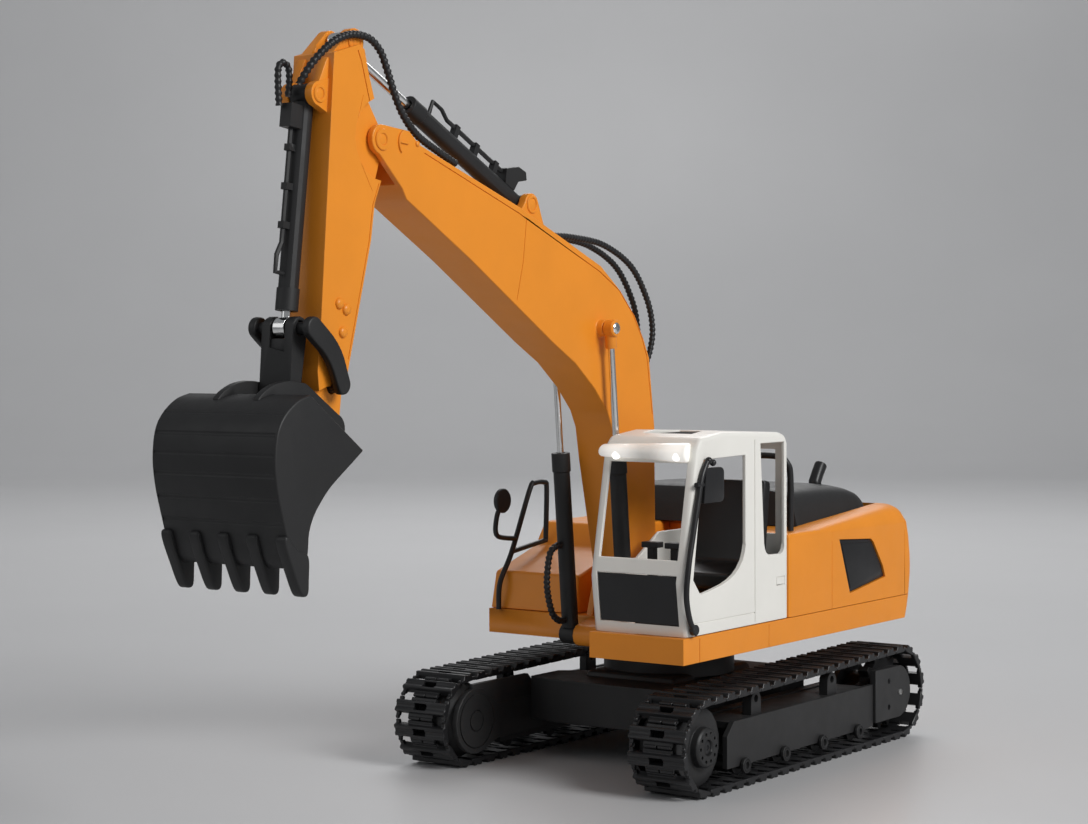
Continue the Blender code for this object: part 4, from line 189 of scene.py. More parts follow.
def plastic(name, colour, roughness, mottling, grain, gloss):
    """Moulded plastic: faint clouds in the pigment, uneven gloss and a fine mould grain."""
    material, tree, shader, where = blank(name)
    feed(tree, shader, {
        "Base Color": mottled(tree, noise(tree, where, CLOUD_SCALE, 4), colour, mottling),
        "Roughness": spread(tree, noise(tree, where, GLOSS_SCALE, 5), roughness - 0.05, roughness + 0.05),
        "Normal": bumped(tree, noise(tree, where, GRAIN_SCALE, 2), grain, GRAIN_DEPTH),
        "Specular IOR Level": gloss})
    return material


def metal(name, colour, roughness, stretch):
    """Drawn or turned metal: fine lines along or across the piece."""
    material, tree, shader, where = blank(name)
    mapping = add(tree, "Mapping", {"Vector": where, "Scale": stretch})
    lines = noise(tree, mapping.outputs["Vector"], LINE_SCALE, 3)
    feed(tree, shader, {
        "Base Color": mottled(tree, lines, colour, 0.06),
        "Roughness": spread(tree, lines, roughness - 0.04, roughness + 0.08),
        "Normal": bumped(tree, lines, 0.12, LINE_DEPTH),
        "Metallic": 1.0})
    return material


def lit_lens(name, reach, low, high):
    """A white lens that glows round the two lamps behind it and fades away from them."""
    material, tree, shader, where = blank(name)
    fades = []
    for place in LAMPS:
        away = add(tree, "VectorMath", {0: where, 1: place})
        away.operation = "DISTANCE"
        ends = {"Value": away.outputs["Value"], "From Max": reach * MM, "To Min": high, "To Max": low}
        fade = add(tree, "MapRange", ends)
        fade.interpolation_type = "SMOOTHSTEP"
        fades.append(fade.outputs["Result"])
    glow = add(tree, "Math", {0: fades[0], 1: fades[1]})
    glow.operation = "MAXIMUM"
    feed(tree, shader, {
        "Base Color": mottled(tree, noise(tree, where, 300, 3), CREAM, 0.03),
        "Emission Strength": glow.outputs["Value"],
        "Emission Color": LAMP_WHITE + (1.0,),
        "Roughness": 0.25})
    return material


finish_of = {
    "orange": plastic("orange_plastic", ORANGE, 0.36, mottling=0.03, grain=0.2, gloss=0.35),
    "cream": plastic("cream_plastic", CREAM, 0.38, mottling=0.025, grain=0.2, gloss=0.4),
    "black": plastic("black_plastic", BLACK, 0.40, mottling=0.15, grain=0.3, gloss=0.4),
    "dark": plastic("dark_plastic", DARK, 0.5, mottling=0.08, grain=0.3, gloss=0.35),
    "grey": plastic("grey_plastic", GREY, 0.5, mottling=0.07, grain=0.3, gloss=0.35),
    "hose": plastic("hose_rubber", RUBBER, 0.45, mottling=0.2, grain=0.3, gloss=0.4),
    "rod": metal("chrome", CHROME, 0.14, stretch=(1, 1, 1)),
    "motor": metal("motor_steel", STEEL, 0.32, stretch=(1, 1, 12)),
}


# Pieces

# The angle of a sharp edge, in degrees, and the distance under which points are one, in metres
SHARP = 35
WELD = 2e-5
FOLDED = -1e-12
FLAT = radians(0.1)
NEARLY_FLAT = radians(1)
BEVEL_TRIES = 6
BEVEL_ROOM = 1.6


def shade(mesh, angle=SHARP):
    """Shades a mesh smooth, apart from edges that are sharper than an angle in degrees."""
    mesh.shade_smooth()
    mesh.set_sharp_from_angle(angle=radians(angle))


def finished(work):
    """Turns a bmesh into a mesh whose round faces are shaded smooth."""
    mesh = bpy.data.meshes.new("shape")
    work.to_mesh(mesh)
    work.free()
    shade(mesh)
    return mesh


def placed(name, data):
    """A new object in the scene."""
    obj = bpy.data.objects.new(name, data)
    bpy.context.scene.collection.objects.link(obj)
    return obj


def piece(name, shape, body, slot, material=None, replaced=()):
    """A visible piece, from a mesh or a bmesh, that rides on a body and takes the finish of a slot."""
    mesh = finished(shape) if isinstance(shape, bmesh.types.BMesh) else shape
    obj = placed(name, mesh)
    mesh.materials.clear()
    mesh.materials.append(material or finish_of[slot])
    if body:
        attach(obj, body)
    if replaced:
        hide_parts(*replaced)
    return obj


def stand_in(node, shape, material=None, name=None):
    """A piece that stands in for one solid of the CAD: it rides on the solid's body, takes the finish of the
    solid's slot unless another is given, and hides the solid.
    """
    return piece(name or node + "_dressed", shape, nodes[node]["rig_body"], slot_of[node], material, [node])


def even_normals(obj):
    """Keeps the shading of large flat faces flat beside their rounded edges."""
    weights = obj.modifiers.new("even_normals", "WEIGHTED_NORMAL")
    weights.keep_sharp = True
    return obj


def crossings(work):
    """The places where faces of a shape fold over or cut through one another."""
    places = set()
    for loops in work.calc_loop_triangles():
        first, second, third = (loop.vert.co for loop in loops)
        if (second - first).cross(third - first).dot(loops[0].face.normal) < FOLDED:
            places.add(((first + second + third) / 3).to_tuple(4))
    check = work.copy()
    bmesh.ops.triangulate(check, faces=check.faces)
    check.faces.ensure_lookup_table()
    tree = BVHTree.FromBMesh(check)
    for pair in tree.overlap(tree):
        first, second = check.faces[pair[0]], check.faces[pair[1]]
        if not set(first.verts) & set(second.verts):
            places.add(first.calc_center_median().to_tuple(4))
    check.free()
    return [Vector(place) for place in places]


def is_near(edge, places, reach):
    """Whether an edge passes within reach of any of the places."""
    first, second = (vert.co for vert in edge.verts)
    for place in places:
        _, share = intersect_point_line(place, first, second)
        if (first.lerp(second, min(1.0, max(0.0, share))) - place).length < reach:
            return True
    return False


def softened(node, width):
    """A copy of a solid's mesh with its sharp edges rounded wherever there is room."""
    plain = bmesh.new()
    plain.from_mesh(nodes[node].data)
    bmesh.ops.remove_doubles(plain, verts=plain.verts, dist=WELD)
    bmesh.ops.dissolve_degenerate(plain, edges=plain.edges, dist=WELD)
    bmesh.ops.dissolve_limit(plain, angle_limit=NEARLY_FLAT, verts=plain.verts, edges=plain.edges)
    tight = []
    for attempt in range(BEVEL_TRIES):
        work = plain.copy()
        sharp = [edge for edge in work.edges if len(edge.link_faces) == 2
                 and edge.calc_face_angle(0) > radians(SHARP)
                 and not is_near(edge, tight, BEVEL_ROOM * width * MM)]
        bmesh.ops.bevel(work, geom=sharp, offset=width * MM, segments=2, profile=0.5, affect="EDGES",
                        clamp_overlap=attempt == BEVEL_TRIES - 1)
        found = crossings(work)
        if not found:
            break
        tight += found
    return finished(work)


def dressed(node, width, cuts=(), material=None):
    """A solid with rounded edges and, if given, engraved lines and holes."""
    mesh = softened(node, width)
    if cuts:
        mesh = carved(mesh, cuts)
    return even_normals(stand_in(node, mesh, material))


# Mesh shapes

ROUTE_PARTS = 24
BAR_STEP = 1.2
BAR_SIDES = 14
SAME_PLACE = 1e-7


def carved(mesh, cutters):
    """The mesh with shapes cut out of it, and its flat faces whole again."""
    work = bmesh.new()
    work.from_mesh(mesh)
    bmesh.ops.triangulate(work, faces=work.faces)
    work.to_mesh(mesh)
    work.clear()
    target = placed("carving", mesh)
    tool = placed("carving_tool", joined(cutters))
    step = target.modifiers.new("cut", "BOOLEAN")
    step.operation = "DIFFERENCE"
    step.solver = "MANIFOLD"
    step.object = tool
    bpy.context.view_layer.update()
    graph = bpy.context.evaluated_depsgraph_get()
    result = bpy.data.meshes.new_from_object(target.evaluated_get(graph))
    bpy.data.objects.remove(target)
    bpy.data.objects.remove(tool)
    work.from_mesh(result)
    bmesh.ops.dissolve_limit(work, angle_limit=FLAT, verts=work.verts, edges=work.edges)
    work.to_mesh(result)
    work.free()
    shade(result)
    return result


def joined(shapes):
    """One mesh of several bmesh shapes."""
    whole = bmesh.new()
    for shape in shapes:
        part = bpy.data.meshes.new("part")
        shape.to_mesh(part)
        shape.free()
        whole.from_mesh(part)
        bpy.data.meshes.remove(part)
    return finished(whole)


def extruded(near, far):
    """A solid between two outlines that have as many points."""
    work = bmesh.new()
    base = [work.verts.new(point) for point in near]
    top = [work.verts.new(point) for point in far]
    work.faces.new(base)
    work.faces.new(reversed(top))
    for index in range(len(base)):
        after = (index + 1) % len(base)
        work.faces.new((base[index], top[index], top[after], base[after]))
    bmesh.ops.recalc_face_normals(work, faces=work.faces)
    return work


def lofted(rings):
    """A solid through closed rings of points, with flat ends."""
    work = bmesh.new()
    loops = [[work.verts.new(point) for point in ring] for ring in rings]
    for low, high in zip(loops, loops[1:]):
        for index in range(len(low)):
            after = (index + 1) % len(low)
            work.faces.new((low[index], low[after], high[after], high[index]))
    work.faces.new(loops[0])
    work.faces.new(loops[-1])
    bmesh.ops.recalc_face_normals(work, faces=work.faces)
    return work


def prism(outline, low, high):
    """A side outline (y, z) in millimetres carried across the machine from x = low to x = high."""
    return extruded([spot(low, y, z) for y, z in outline], [spot(high, y, z) for y, z in outline])


def side_plate(outline, side, near, far):
    """A prism on the left (1) or the right (-1), between two distances from the middle."""
    low, high = sorted((side * near, side * far))
    return prism(outline, low, high)


def brick(stand, size):
    """A box of a size in millimetres, centred on a frame."""
    work = bmesh.new()
    scale = Matrix.Diagonal([length * MM for length in size] + [1])
    bmesh.ops.create_cube(work, size=1.0, matrix=stand @ scale)
    return work


def rounded(work, width, angle=SHARP, segments=2):
    """Rounds the sharp edges of a shape."""
    sharp = [edge for edge in work.edges if edge.calc_face_angle(0) > radians(angle)]
    bmesh.ops.bevel(work, geom=sharp, offset=width * MM, segments=segments, profile=0.5, affect="EDGES",
                    clamp_overlap=True)
    return work


def strip(points, width):
    """The outline of a strip of this width along a line of points."""
    left, right = [], []
    for index, (y, z) in enumerate(points):
        before = points[max(0, index - 1)]
        after = points[min(len(points) - 1, index + 1)]
        size = hypot(after[0] - before[0], after[1] - before[1])
        ny = -(after[1] - before[1]) / size * width / 2
        nz = (after[0] - before[0]) / size * width / 2
        left.append((y + ny, z + nz))
        right.append((y - ny, z - nz))
    return left + right[::-1]


def side_grooves(points, face, width=0.5, depth=0.4, mirror=True):
    """Cutters that engrave a line on the outer face at x = face and, if mirrored, at x = -face."""
    sides = (1, -1) if mirror else (1,)
    return [side_plate(strip(points, width), side, face - depth, face + 2) for side in sides]


def arc(centre, radius, start, stop, steps=10):
    """Points (y, z) on an arc, with angles in degrees."""
    points = []
    for step in range(steps + 1):
        angle = radians(start + (stop - start) * step / steps)
        points.append((centre[0] + radius * cos(angle), centre[1] + radius * sin(angle)))
    return points


def softer(outline):
    """A closed outline with its corners cut twice, so that they are nearly round."""
    for _ in range(2):
        points = []
        for (y0, z0), (y1, z1) in zip(outline, outline[1:] + outline[:1]):
            points.append((0.75 * y0 + 0.25 * y1, 0.75 * z0 + 0.25 * z1))
            points.append((0.25 * y0 + 0.75 * y1, 0.25 * z0 + 0.75 * z1))
        outline = points
    return outline


def curve(points, step):
    """Points (y, z) of a smooth line through other points, about one step apart."""
    line = route([Vector((0, y, z)) * MM for y, z in points], step)
    return [(point.y / MM, point.z / MM) for point in line]


def inset(outline, distance):
    """A closed outline drawn in by a distance."""
    area = sum(y0 * z1 - y1 * z0 for (y0, z0), (y1, z1) in zip(outline, outline[1:] + outline[:1]))
    inward = copysign(distance, area)
    points = []
    for index, (y, z) in enumerate(outline):
        before, after = outline[index - 1], outline[(index + 1) % len(outline)]
        first = Vector((y - before[0], z - before[1])).normalized()
        second = Vector((after[0] - y, after[1] - z)).normalized()
        middle = Vector((-first.y - second.y, first.x + second.x)).normalized()
        share = max(0.5, middle.dot(Vector((-first.y, first.x))))
        points.append((y + middle.x * inward / share, z + middle.y * inward / share))
    return points


def facing(place, direction):
    """A frame at a place whose Z axis points in a direction."""
    turn = Vector(direction).to_track_quat("Z", "Y").to_matrix().to_4x4()
    return Matrix.Translation(place) @ turn


def turned(profile, stand, steps):
    """A turned shape about a frame's Z axis, from a profile of (radius, height) in millimetres."""
    work = bmesh.new()
    rings = []
    for radius, height in profile:
        if radius == 0:
            rings.append([work.verts.new(stand @ Vector((0, 0, height * MM)))])
            continue
        ring = []
        for step in range(steps):
            angle = 2 * pi * step / steps
            point = Vector((radius * cos(angle), radius * sin(angle), height)) * MM
            ring.append(work.verts.new(stand @ point))
        rings.append(ring)
    for low, high in zip(rings, rings[1:]):
        for step in range(steps):
            after = (step + 1) % steps
            corners = [low[step % len(low)], low[after % len(low)]]
            corners += [high[after % len(high)], high[step % len(high)]]
            distinct = list(dict.fromkeys(corners))
            if len(distinct) > 2:
                work.faces.new(distinct)
    bmesh.ops.remove_doubles(work, verts=work.verts, dist=SAME_PLACE)
    bmesh.ops.recalc_face_normals(work, faces=work.faces)
    return work


def peg(radius, low, high, mouth=None):
    """The profile of a round peg between two heights, which may widen to a mouth."""
    return [(0, low), (radius, low), (mouth or radius, high), (0, high)]


def ring_cut(radius, width, depth):
    """The profile that engraves a ring of this inner radius."""
    outer = radius + width
    return [(radius, 1), (radius, -depth), (outer, -depth), (outer, 1), (radius, 1)]


def route(points, step):
    """A smooth line through the points, sampled at about equal steps in millimetres."""
    fine = []
    for index in range(len(points) - 1):
        before = points[max(0, index - 1)]
        start, stop = points[index], points[index + 1]
        after = points[min(len(points) - 1, index + 2)]
        bend = 2 * before - 5 * start + 4 * stop - after
        twist = 3 * start - before - 3 * stop + after
        for part in range(ROUTE_PARTS):
            t = part / ROUTE_PARTS
            fine.append(0.5 * (2 * start + (stop - before) * t + bend * t ** 2 + twist * t ** 3))
    fine.append(points[-1])
    lengths = [0.0]
    for first, second in zip(fine, fine[1:]):
        lengths.append(lengths[-1] + (second - first).length)
    count = max(2, round(lengths[-1] / (step * MM)))
    line = []
    index = 0
    for number in range(count + 1):
        goal = lengths[-1] * number / count
        while index < len(fine) - 2 and lengths[index + 1] < goal:
            index += 1
        span = lengths[index + 1] - lengths[index]
        line.append(fine[index].lerp(fine[index + 1], (goal - lengths[index]) / span if span else 0.0))
    return line


def swept(line, radius_at, sides):
    """A closed round bar along a line; radius_at gives its radius at each point."""
    rings = []
    normal = None
    for index, point in enumerate(line):
        ahead = line[min(len(line) - 1, index + 1)] - line[max(0, index - 1)]
        tangent = ahead.normalized()
        if normal is None:
            normal = tangent.orthogonal().normalized()
        normal = (normal - tangent * normal.dot(tangent)).normalized()
        other = tangent.cross(normal)
        ring = []
        for side in range(sides):
            angle = 2 * pi * side / sides
            offset = (normal * cos(angle) + other * sin(angle)) * radius_at(index) * MM
            ring.append(point + offset)
        rings.append(ring)
    return lofted(rings)


def at_x(x, points):
    """Side points (y, z) as places at one distance from the machine's middle."""
    return [(x, y, z) for y, z in points]


def bar(points, radius):
    """A plain bent rod through places in millimetres."""
    line = route([spot(*point) for point in points], BAR_STEP)
    return swept(line, lambda index: radius, BAR_SIDES)


def screw(place, direction, radius):
    """A pan-head screw with a cross recess."""
    stand = facing(place, direction)
    head = turned([(0, -0.3), (radius, -0.3), (radius, 0.25), (radius * 0.86, 0.62), (radius * 0.5, 0.85),
                   (0, 0.92)], stand, 24)
    recess = stand @ Matrix.Translation((0, 0, 0.95 * MM))
    long, short = radius * 0.62, radius * 0.14
    arms = [brick(recess, (2 * long, 2 * short, 1.2)), brick(recess, (2 * short, 2 * long, 1.2))]
    return carved(finished(head), arms)


def outer_face(node, side):
    """Where a solid ends on the left (1) or the right (-1), in metres."""
    low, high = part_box(node)
    return high.x if side > 0 else low.x


# Camera

CAMERA_PLACE = (588.8, -919, 195.1)
CAMERA_YAW = radians(35.733)
CAMERA_PITCH = radians(1.825)
CAMERA_ROLL = radians(-0.247)
SENSOR_WIDTH = 36.0
FOCAL_PIXELS = 2305.5
PHOTO_WIDTH = 1088


def make_camera():
    """The camera that was solved from the photo."""
    data = bpy.data.cameras.new("camera")
    data.sensor_width = SENSOR_WIDTH
    data.sensor_fit = "HORIZONTAL"
    data.lens = FOCAL_PIXELS / PHOTO_WIDTH * SENSOR_WIDTH
    camera = placed("camera", data)
    level = cos(CAMERA_PITCH)
    ahead = Vector((-sin(CAMERA_YAW) * level, cos(CAMERA_YAW) * level, -sin(CAMERA_PITCH)))
    right = Vector((cos(CAMERA_YAW), sin(CAMERA_YAW), 0))
    up = right.cross(ahead)
    turned_right = right * cos(CAMERA_ROLL) + up * sin(CAMERA_ROLL)
    turned_up = up * cos(CAMERA_ROLL) - right * sin(CAMERA_ROLL)
    turn = Matrix((turned_right, turned_up, -ahead)).transposed()
    camera.matrix_world = Matrix.Translation(spot(*CAMERA_PLACE)) @ turn.to_4x4()
    bpy.context.scene.camera = camera


# Hoses

HOSE_SIDES = 12
RIB_STEP = 0.55
RIBS = (1, 1, 0.78, 0.78)


def corrugated(node, points, radius, body):
    """A ribbed hose through places in millimetres. One given no body is attached to none."""
    line = route([spot(*point) for point in points], RIB_STEP)
    shape = swept(line, lambda index: radius * RIBS[index % len(RIBS)], HOSE_SIDES)
    obj = piece(node + "_ribbed", shape, body, "hose", None, [node])
    return obj


def make_hoses():
    lead = [(7, -172, 266.9), (7.6, -184, 271), (8.2, -197, 276), (9.4, -206.6, 282),
            (9.9, -213, 289.5), (10, -219.1, 301.3), (10, -222.8, 307.5), (10, -229, 311.6),
            (10, -237, 312.4), (10, -244.5, 311), (9.8, -252.6, 307), (7, -259.5, 299.5),
            (3, -262.6, 291.5)]
    stick_lead = corrugated("stick_lead", lead, 1.6, None)
    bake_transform(stick_lead)
    loop = [(-268.1, 283.4), (-268.6, 290), (-268.6, 296.4), (-267.7, 298.8), (-265.5, 299.9),
            (-263.3, 298.8), (-262.4, 296.4), (-262.4, 292), (-263.2, 287.2)]
    corrugated("bucket_lead", at_x(-2.0, loop), 1.4, "bucket_barrel")
    hose = [(-98, 239.9), (-83, 239.6), (-60, 237), (-38, 228), (-24.5, 213), (-20, 200),
            (-22, 189.5), (-28, 180.5)]
    for side, label in SIDES:
        corrugated(f"boom_hose_{label}", at_x(side * 4.2, hose), 1.5, "boom")
    foot = [(-66.9, 101.2), (-71, 100.9), (-75.5, 97), (-77.5, 84), (-74, 72), (-69, 67.4),
            (-63.9, 66.8)]
    corrugated("foot_lead", at_x(-CYLINDER_X, foot), 1.6, "boom_barrel_right")


# Tracks

WHEEL_TILT = atan2(SPROCKET_RADIUS - IDLER_RADIUS, WHEEL_BASE)
SPROCKET_SWEEP = pi + 2 * WHEEL_TILT
IDLER_SWEEP = pi - 2 * WHEEL_TILT
CHAIN_LENGTH = 2 * WHEEL_BASE + SPROCKET_RADIUS * SPROCKET_SWEEP + IDLER_RADIUS * IDLER_SWEEP
LINKS = 48
PITCH = CHAIN_LENGTH / LINKS
FIRST_LINK = 0.52
LINK_GAP = 0.35
# Openings in a shoe: where they are, then their width and length
DRIVE_OPENING = (0, 0, 7, 3.2)
CORNER_OPENINGS = [(x, y, 5.2, 4) for x in (-9.6, 9.6) for y in (-PITCH / 2, PITCH / 2)]
KNUCKLES = ((-14, -12.4), (-6.8, -0.3), (0.3, 6.8), (12.4, 14))
IDLER_CENTRE = (-WHEEL_BASE / 2, IDLER_RADIUS + SHOE_HEIGHT)
SPROCKET_CENTRE = (WHEEL_BASE / 2, SPROCKET_RADIUS + SHOE_HEIGHT)


def on_wheel(centre, radius, angle):
    """A place (y, z) on a wheel's rim."""
    return centre[0] + radius * cos(angle), centre[1] + radius * sin(angle)


def chain_frame(distance):
    """The place (y, z) on the chain's inner face, in millimetres, and the outward angle there."""
    distance %= CHAIN_LENGTH
    if distance < WHEEL_BASE:
        return (IDLER_CENTRE[0] + distance, IDLER_CENTRE[1] - IDLER_RADIUS), -pi / 2
    distance -= WHEEL_BASE
    if distance < SPROCKET_RADIUS * SPROCKET_SWEEP:
        angle = distance / SPROCKET_RADIUS - pi / 2
        return on_wheel(SPROCKET_CENTRE, SPROCKET_RADIUS, angle), angle
    distance -= SPROCKET_RADIUS * SPROCKET_SWEEP
    angle = pi / 2 + 2 * WHEEL_TILT
    if distance < WHEEL_BASE:
        y, z = on_wheel(SPROCKET_CENTRE, SPROCKET_RADIUS, angle)
        return (y - sin(angle) * distance, z + cos(angle) * distance), angle
    angle += (distance - WHEEL_BASE) / IDLER_RADIUS
    return on_wheel(IDLER_CENTRE, IDLER_RADIUS, angle), angle


def link_shape():
    """One shoe in its own axes: X across, Y along the chain and Z outwards."""
    half = PAD_WIDTH / 2
    end = PITCH / 2 - LINK_GAP
    profile = [(-end, 0.5), (-end, 1.5), (-3.1, 1.6), (-2.6, 3.5), (-1.1, 3.5), (-0.7, 3), (0.7, 3),
               (1.1, 3.5), (2.6, 3.5), (3.1, 1.6), (end, 1.5), (end, 0.5), (end - 0.6, 0), (-end + 0.6, 0)]
    shoe = extruded(at_x(-half, profile), at_x(half, profile))
    bmesh.ops.scale(shoe, vec=(MM, MM, MM), verts=shoe.verts)
    rounded(shoe, 0.25, 25, 1)
    windows = [brick(Matrix.Translation((x * MM, y * MM, 1.7 * MM)), (width, length, 8))
               for x, y, width, length in [DRIVE_OPENING] + CORNER_OPENINGS]
    return carved(finished(shoe), windows)


def hinge_shapes():
    """The round knuckles that join two shoes, in the same axes."""
    shapes = []
    for low, high in KNUCKLES:
        size = high - low
        stand = facing(Vector((low * MM, PITCH / 2 * MM, 0.95 * MM)), ACROSS)
        profile = [(0, 0), (0.7, 0), (0.9, 0.2), (0.9, size - 0.2), (0.7, size), (0, size)]
        shapes.append(turned(profile, stand, 12))
    return joined(shapes)


def make_chain(side, label):
    """The track chain: one shoe after another round both wheels."""
    shoe = link_shape()
    knuckle = hinge_shapes()
    whole = bmesh.new()
    for number in range(LINKS):
        (y, z), angle = chain_frame((number + FIRST_LINK) * PITCH)
        along = Vector((0, -sin(angle), cos(angle)))
        outward = Vector((0, cos(angle), sin(angle)))
        turn = Matrix((ACROSS, along, outward)).transposed().to_4x4()
        stand = Matrix.Translation(spot(side * TRACK_X, y, z)) @ turn
        for shape in (shoe, knuckle):
            copy = shape.copy()
            copy.transform(stand)
            whole.from_mesh(copy)
            bpy.data.meshes.remove(copy)
    bmesh.ops.recalc_face_normals(whole, faces=whole.faces)
    stand_in(f"track_belt_{label}", whole, name=f"track_chain_{label}")


def make_idler(side, label):
    """The front wheel: a hub cap with a dark middle and a ring of small holes."""
    node = f"idler_{label}"
    centre = axis_of[f"idler_turn_{label}"]
    middle = Vector((outer_face(node, side) + side * 0.5 * MM, centre.y, centre.z))
    outward = (side, 0, 0)
    holes = [turned(peg(3.4, -1.8, 1, 3.8), facing(middle, outward), 28)]
    for step in range(10):
        angle = 2 * pi * step / 10
        place = middle + Vector((0, cos(angle), sin(angle))) * 6.1 * MM
        holes.append(turned(peg(0.8, -1.6, 1), facing(place, outward), 12))
    dressed(node, 0.35, holes)
    cap = turned([(0, -2.1), (3, -2.1), (3, -1.4), (2.2, -1.1), (1.2, -1.1), (1, -1.5), (0, -1.5)],
                 facing(middle, outward), 24)
    piece(f"idler_cap_{label}", cap, nodes[node]["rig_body"], "black")


def make_roller(side, label, number):
    """A bottom roller with an engraved ring and a sunk middle on its outer end."""
    node = f"bottom_roller_{label}_{number}"
    low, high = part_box(node)
    end = Vector((outer_face(node, side), (low.y + high.y) / 2, (low.z + high.z) / 2))
    stand = facing(end, (side, 0, 0))
    sunk = turned(peg(1.5, -1.1, 1, 1.8), stand, 20)
    dressed(node, 0.3, [sunk, turned(ring_cut(2.4, 0.3, 0.5), stand, 28)])


def make_track_frame(side, label):
    """The side frame with holes in its posts, rings round the axle and a guard behind the wheel."""
    cuts = [turned(peg(1.7, -12, 12), facing(spot(side * 68, y, 35.2), ACROSS), 20) for y in (-38.5, 31.1)]
    stand = facing(spot(side * 46.5, *IDLER_CENTRE), (-side, 0, 0))
    cuts += [turned(ring_cut(radius, 0.7, 0.6), stand, 40) for radius in (4.4, 12)]
    node = f"track_frame_{label}"
    dressed(node, 0.4, cuts)
    guard = [(-82, 18), (-44, 18), (-44, 33), (-49, 38.2), (-92, 38.2), (-92, 34)]
    plate = rounded(side_plate(guard, side, 46.7, 49.2), 0.5)
    piece(f"track_guard_{label}", plate, "undercarriage", slot_of[node])


def make_drive_cover(side, label):
    """The cover over the sprocket: two sunk holes and one bright screw."""
    node = f"drive_cover_{label}"
    face = outer_face(node, side) / MM
    outward = (side, 0, 0)
    dressed(node, 0.4, [turned(peg(1.3, -1.3, 1, 1.5), facing(spot(face, 79.2, z), outward), 20)
                        for z in (28.8, 16.1)])
    bright = screw(spot(face, 90.8, 22.2), outward, 1.6)
    piece(f"drive_cover_screw_{label}", bright, "undercarriage", "motor")


def make_undercarriage():
    for side, label in SIDES:
        make_chain(side, label)
        make_idler(side, label)
        dressed(f"sprocket_{label}", 0.35)
        make_track_frame(side, label)
        make_drive_cover(side, label)
        dressed(f"drive_motor_{label}", 0.3)
        for number in range(1, 5):
            make_roller(side, label, number)
    dressed("chassis_frame", 0.5)
    dressed("battery_cover", 0.3)
    dressed("power_switch", 0.3)


# House and cab

def make_deck():
    """The deck, with the two joints in its skirt."""
    cuts = []
    for y in (-83.2, -24.5):
        cuts += side_grooves([(y, 54.0), (y, 66.6)], CAB_SIDE, 0.4, 0.35, False)
    dressed("deck", 0.6, cuts)


HOOD_BASE = 106.4
HOOD_STEPS = 28
HOOD_POWER = 0.3
HOOD_LEAN = 4.0
HOOD_SECTIONS = [(26, 15.6, 54), (26.5, 16.9, 54.7), (28, 17.6, 55), (31, 18, 55),
                 (45, 18, 55), (58, 18, 55), (70, 17.7, 55), (80, 16.9, 55),
                 (88, 15.6, 55), (94, 14, 54.5), (98, 12, 53.5), (101, 9, 52),
                 (103, 5, 49.5), (104, 0.8, 47)]


def make_hood():
    """The engine cover: one smooth moulding through sections of (y, height, half width)."""
    rings = []
    for y, height, half in HOOD_SECTIONS:
        ring = []
        for step in range(HOOD_STEPS + 1):
            angle = pi * step / HOOD_STEPS
            across = copysign(abs(cos(angle)) ** HOOD_POWER, cos(angle))
            up = sin(angle) ** HOOD_POWER
            ring.append(spot(across * (half - HOOD_LEAN * up), y, HOOD_BASE + height * up))
        rings.append(ring)
    stand_in("engine_hood", lofted(rings))


SHOULDER_FOOT = 100.0
SHOULDER_INNER = 56.0
SHOULDER_CROWN = 55.3
SHOULDER_WIDTH = 13.7
SHOULDER_STEPS = 12
SHOULDER_SECTIONS = [(14, 105.9, 0.36), (24, 106.6, 0.40), (36, 107.6, 0.44), (60, 109.4, 0.50),
                     (80, 111, 0.55), (95, 112.2, 0.59), (104.3, 112.9, 0.62), (107.2, 112, 0.62),
                     (108.9, 110.1, 0.62), (109.6, 108.2, 0.62), (110, 106.1, 0.62)]


def make_shoulder(side, label):
    """The rounded run from the house's side up to its crown, through sections of (y, height, power)."""
    rings = []
    for y, top, power in SHOULDER_SECTIONS:
        ring = [spot(side * SHOULDER_INNER, y, SHOULDER_FOOT)]
        for step in range(SHOULDER_STEPS + 1):
            angle = pi / 2 * step / SHOULDER_STEPS
            across = SHOULDER_CROWN + SHOULDER_WIDTH * abs(cos(angle)) ** power
            up = (top - SHOULDER_FOOT) * sin(angle) ** power
            ring.append(spot(side * across, y, SHOULDER_FOOT + up))
        rings.append(ring)
    mesh = finished(lofted(rings))
    shade(mesh, 60)
    piece(f"house_shoulder_{label}", mesh, "upper", "orange")


def make_grille():
    """The plain dark panel in the left side, with a low step round its middle."""
    outline = [(51.9, 73.9), (87.4, 78.7), (85, 84), (75.5, 96), (73, 97.8), (41.6, 99.7)]
    shapes = [rounded(prism(outline, 67.5, 68.3), 0.3), rounded(prism(inset(outline, 1.6), 67.6, 68.7), 0.3)]
    stand_in("side_grille", joined(shapes), finish_of["black"])


def make_house():
    cuts = side_grooves([(34, 66), (34, 108)], CAB_SIDE, 0.5, 0.35)
    cuts += side_grooves([(108.5, 66), (108.5, 104)], CAB_SIDE, 0.4, 0.3)
    shell = dressed("house_shell", 0.6, cuts)
    shade(shell.data, 45)
    for side, label in SIDES:
        make_shoulder(side, label)
    make_hood()
    make_grille()
    dressed("exhaust_pipe", 0.3)
    dressed("right_tank", 0.5)
    for node in ("battery_pack", "control_board", "slew_motor"):
        dressed(node, 0.3)


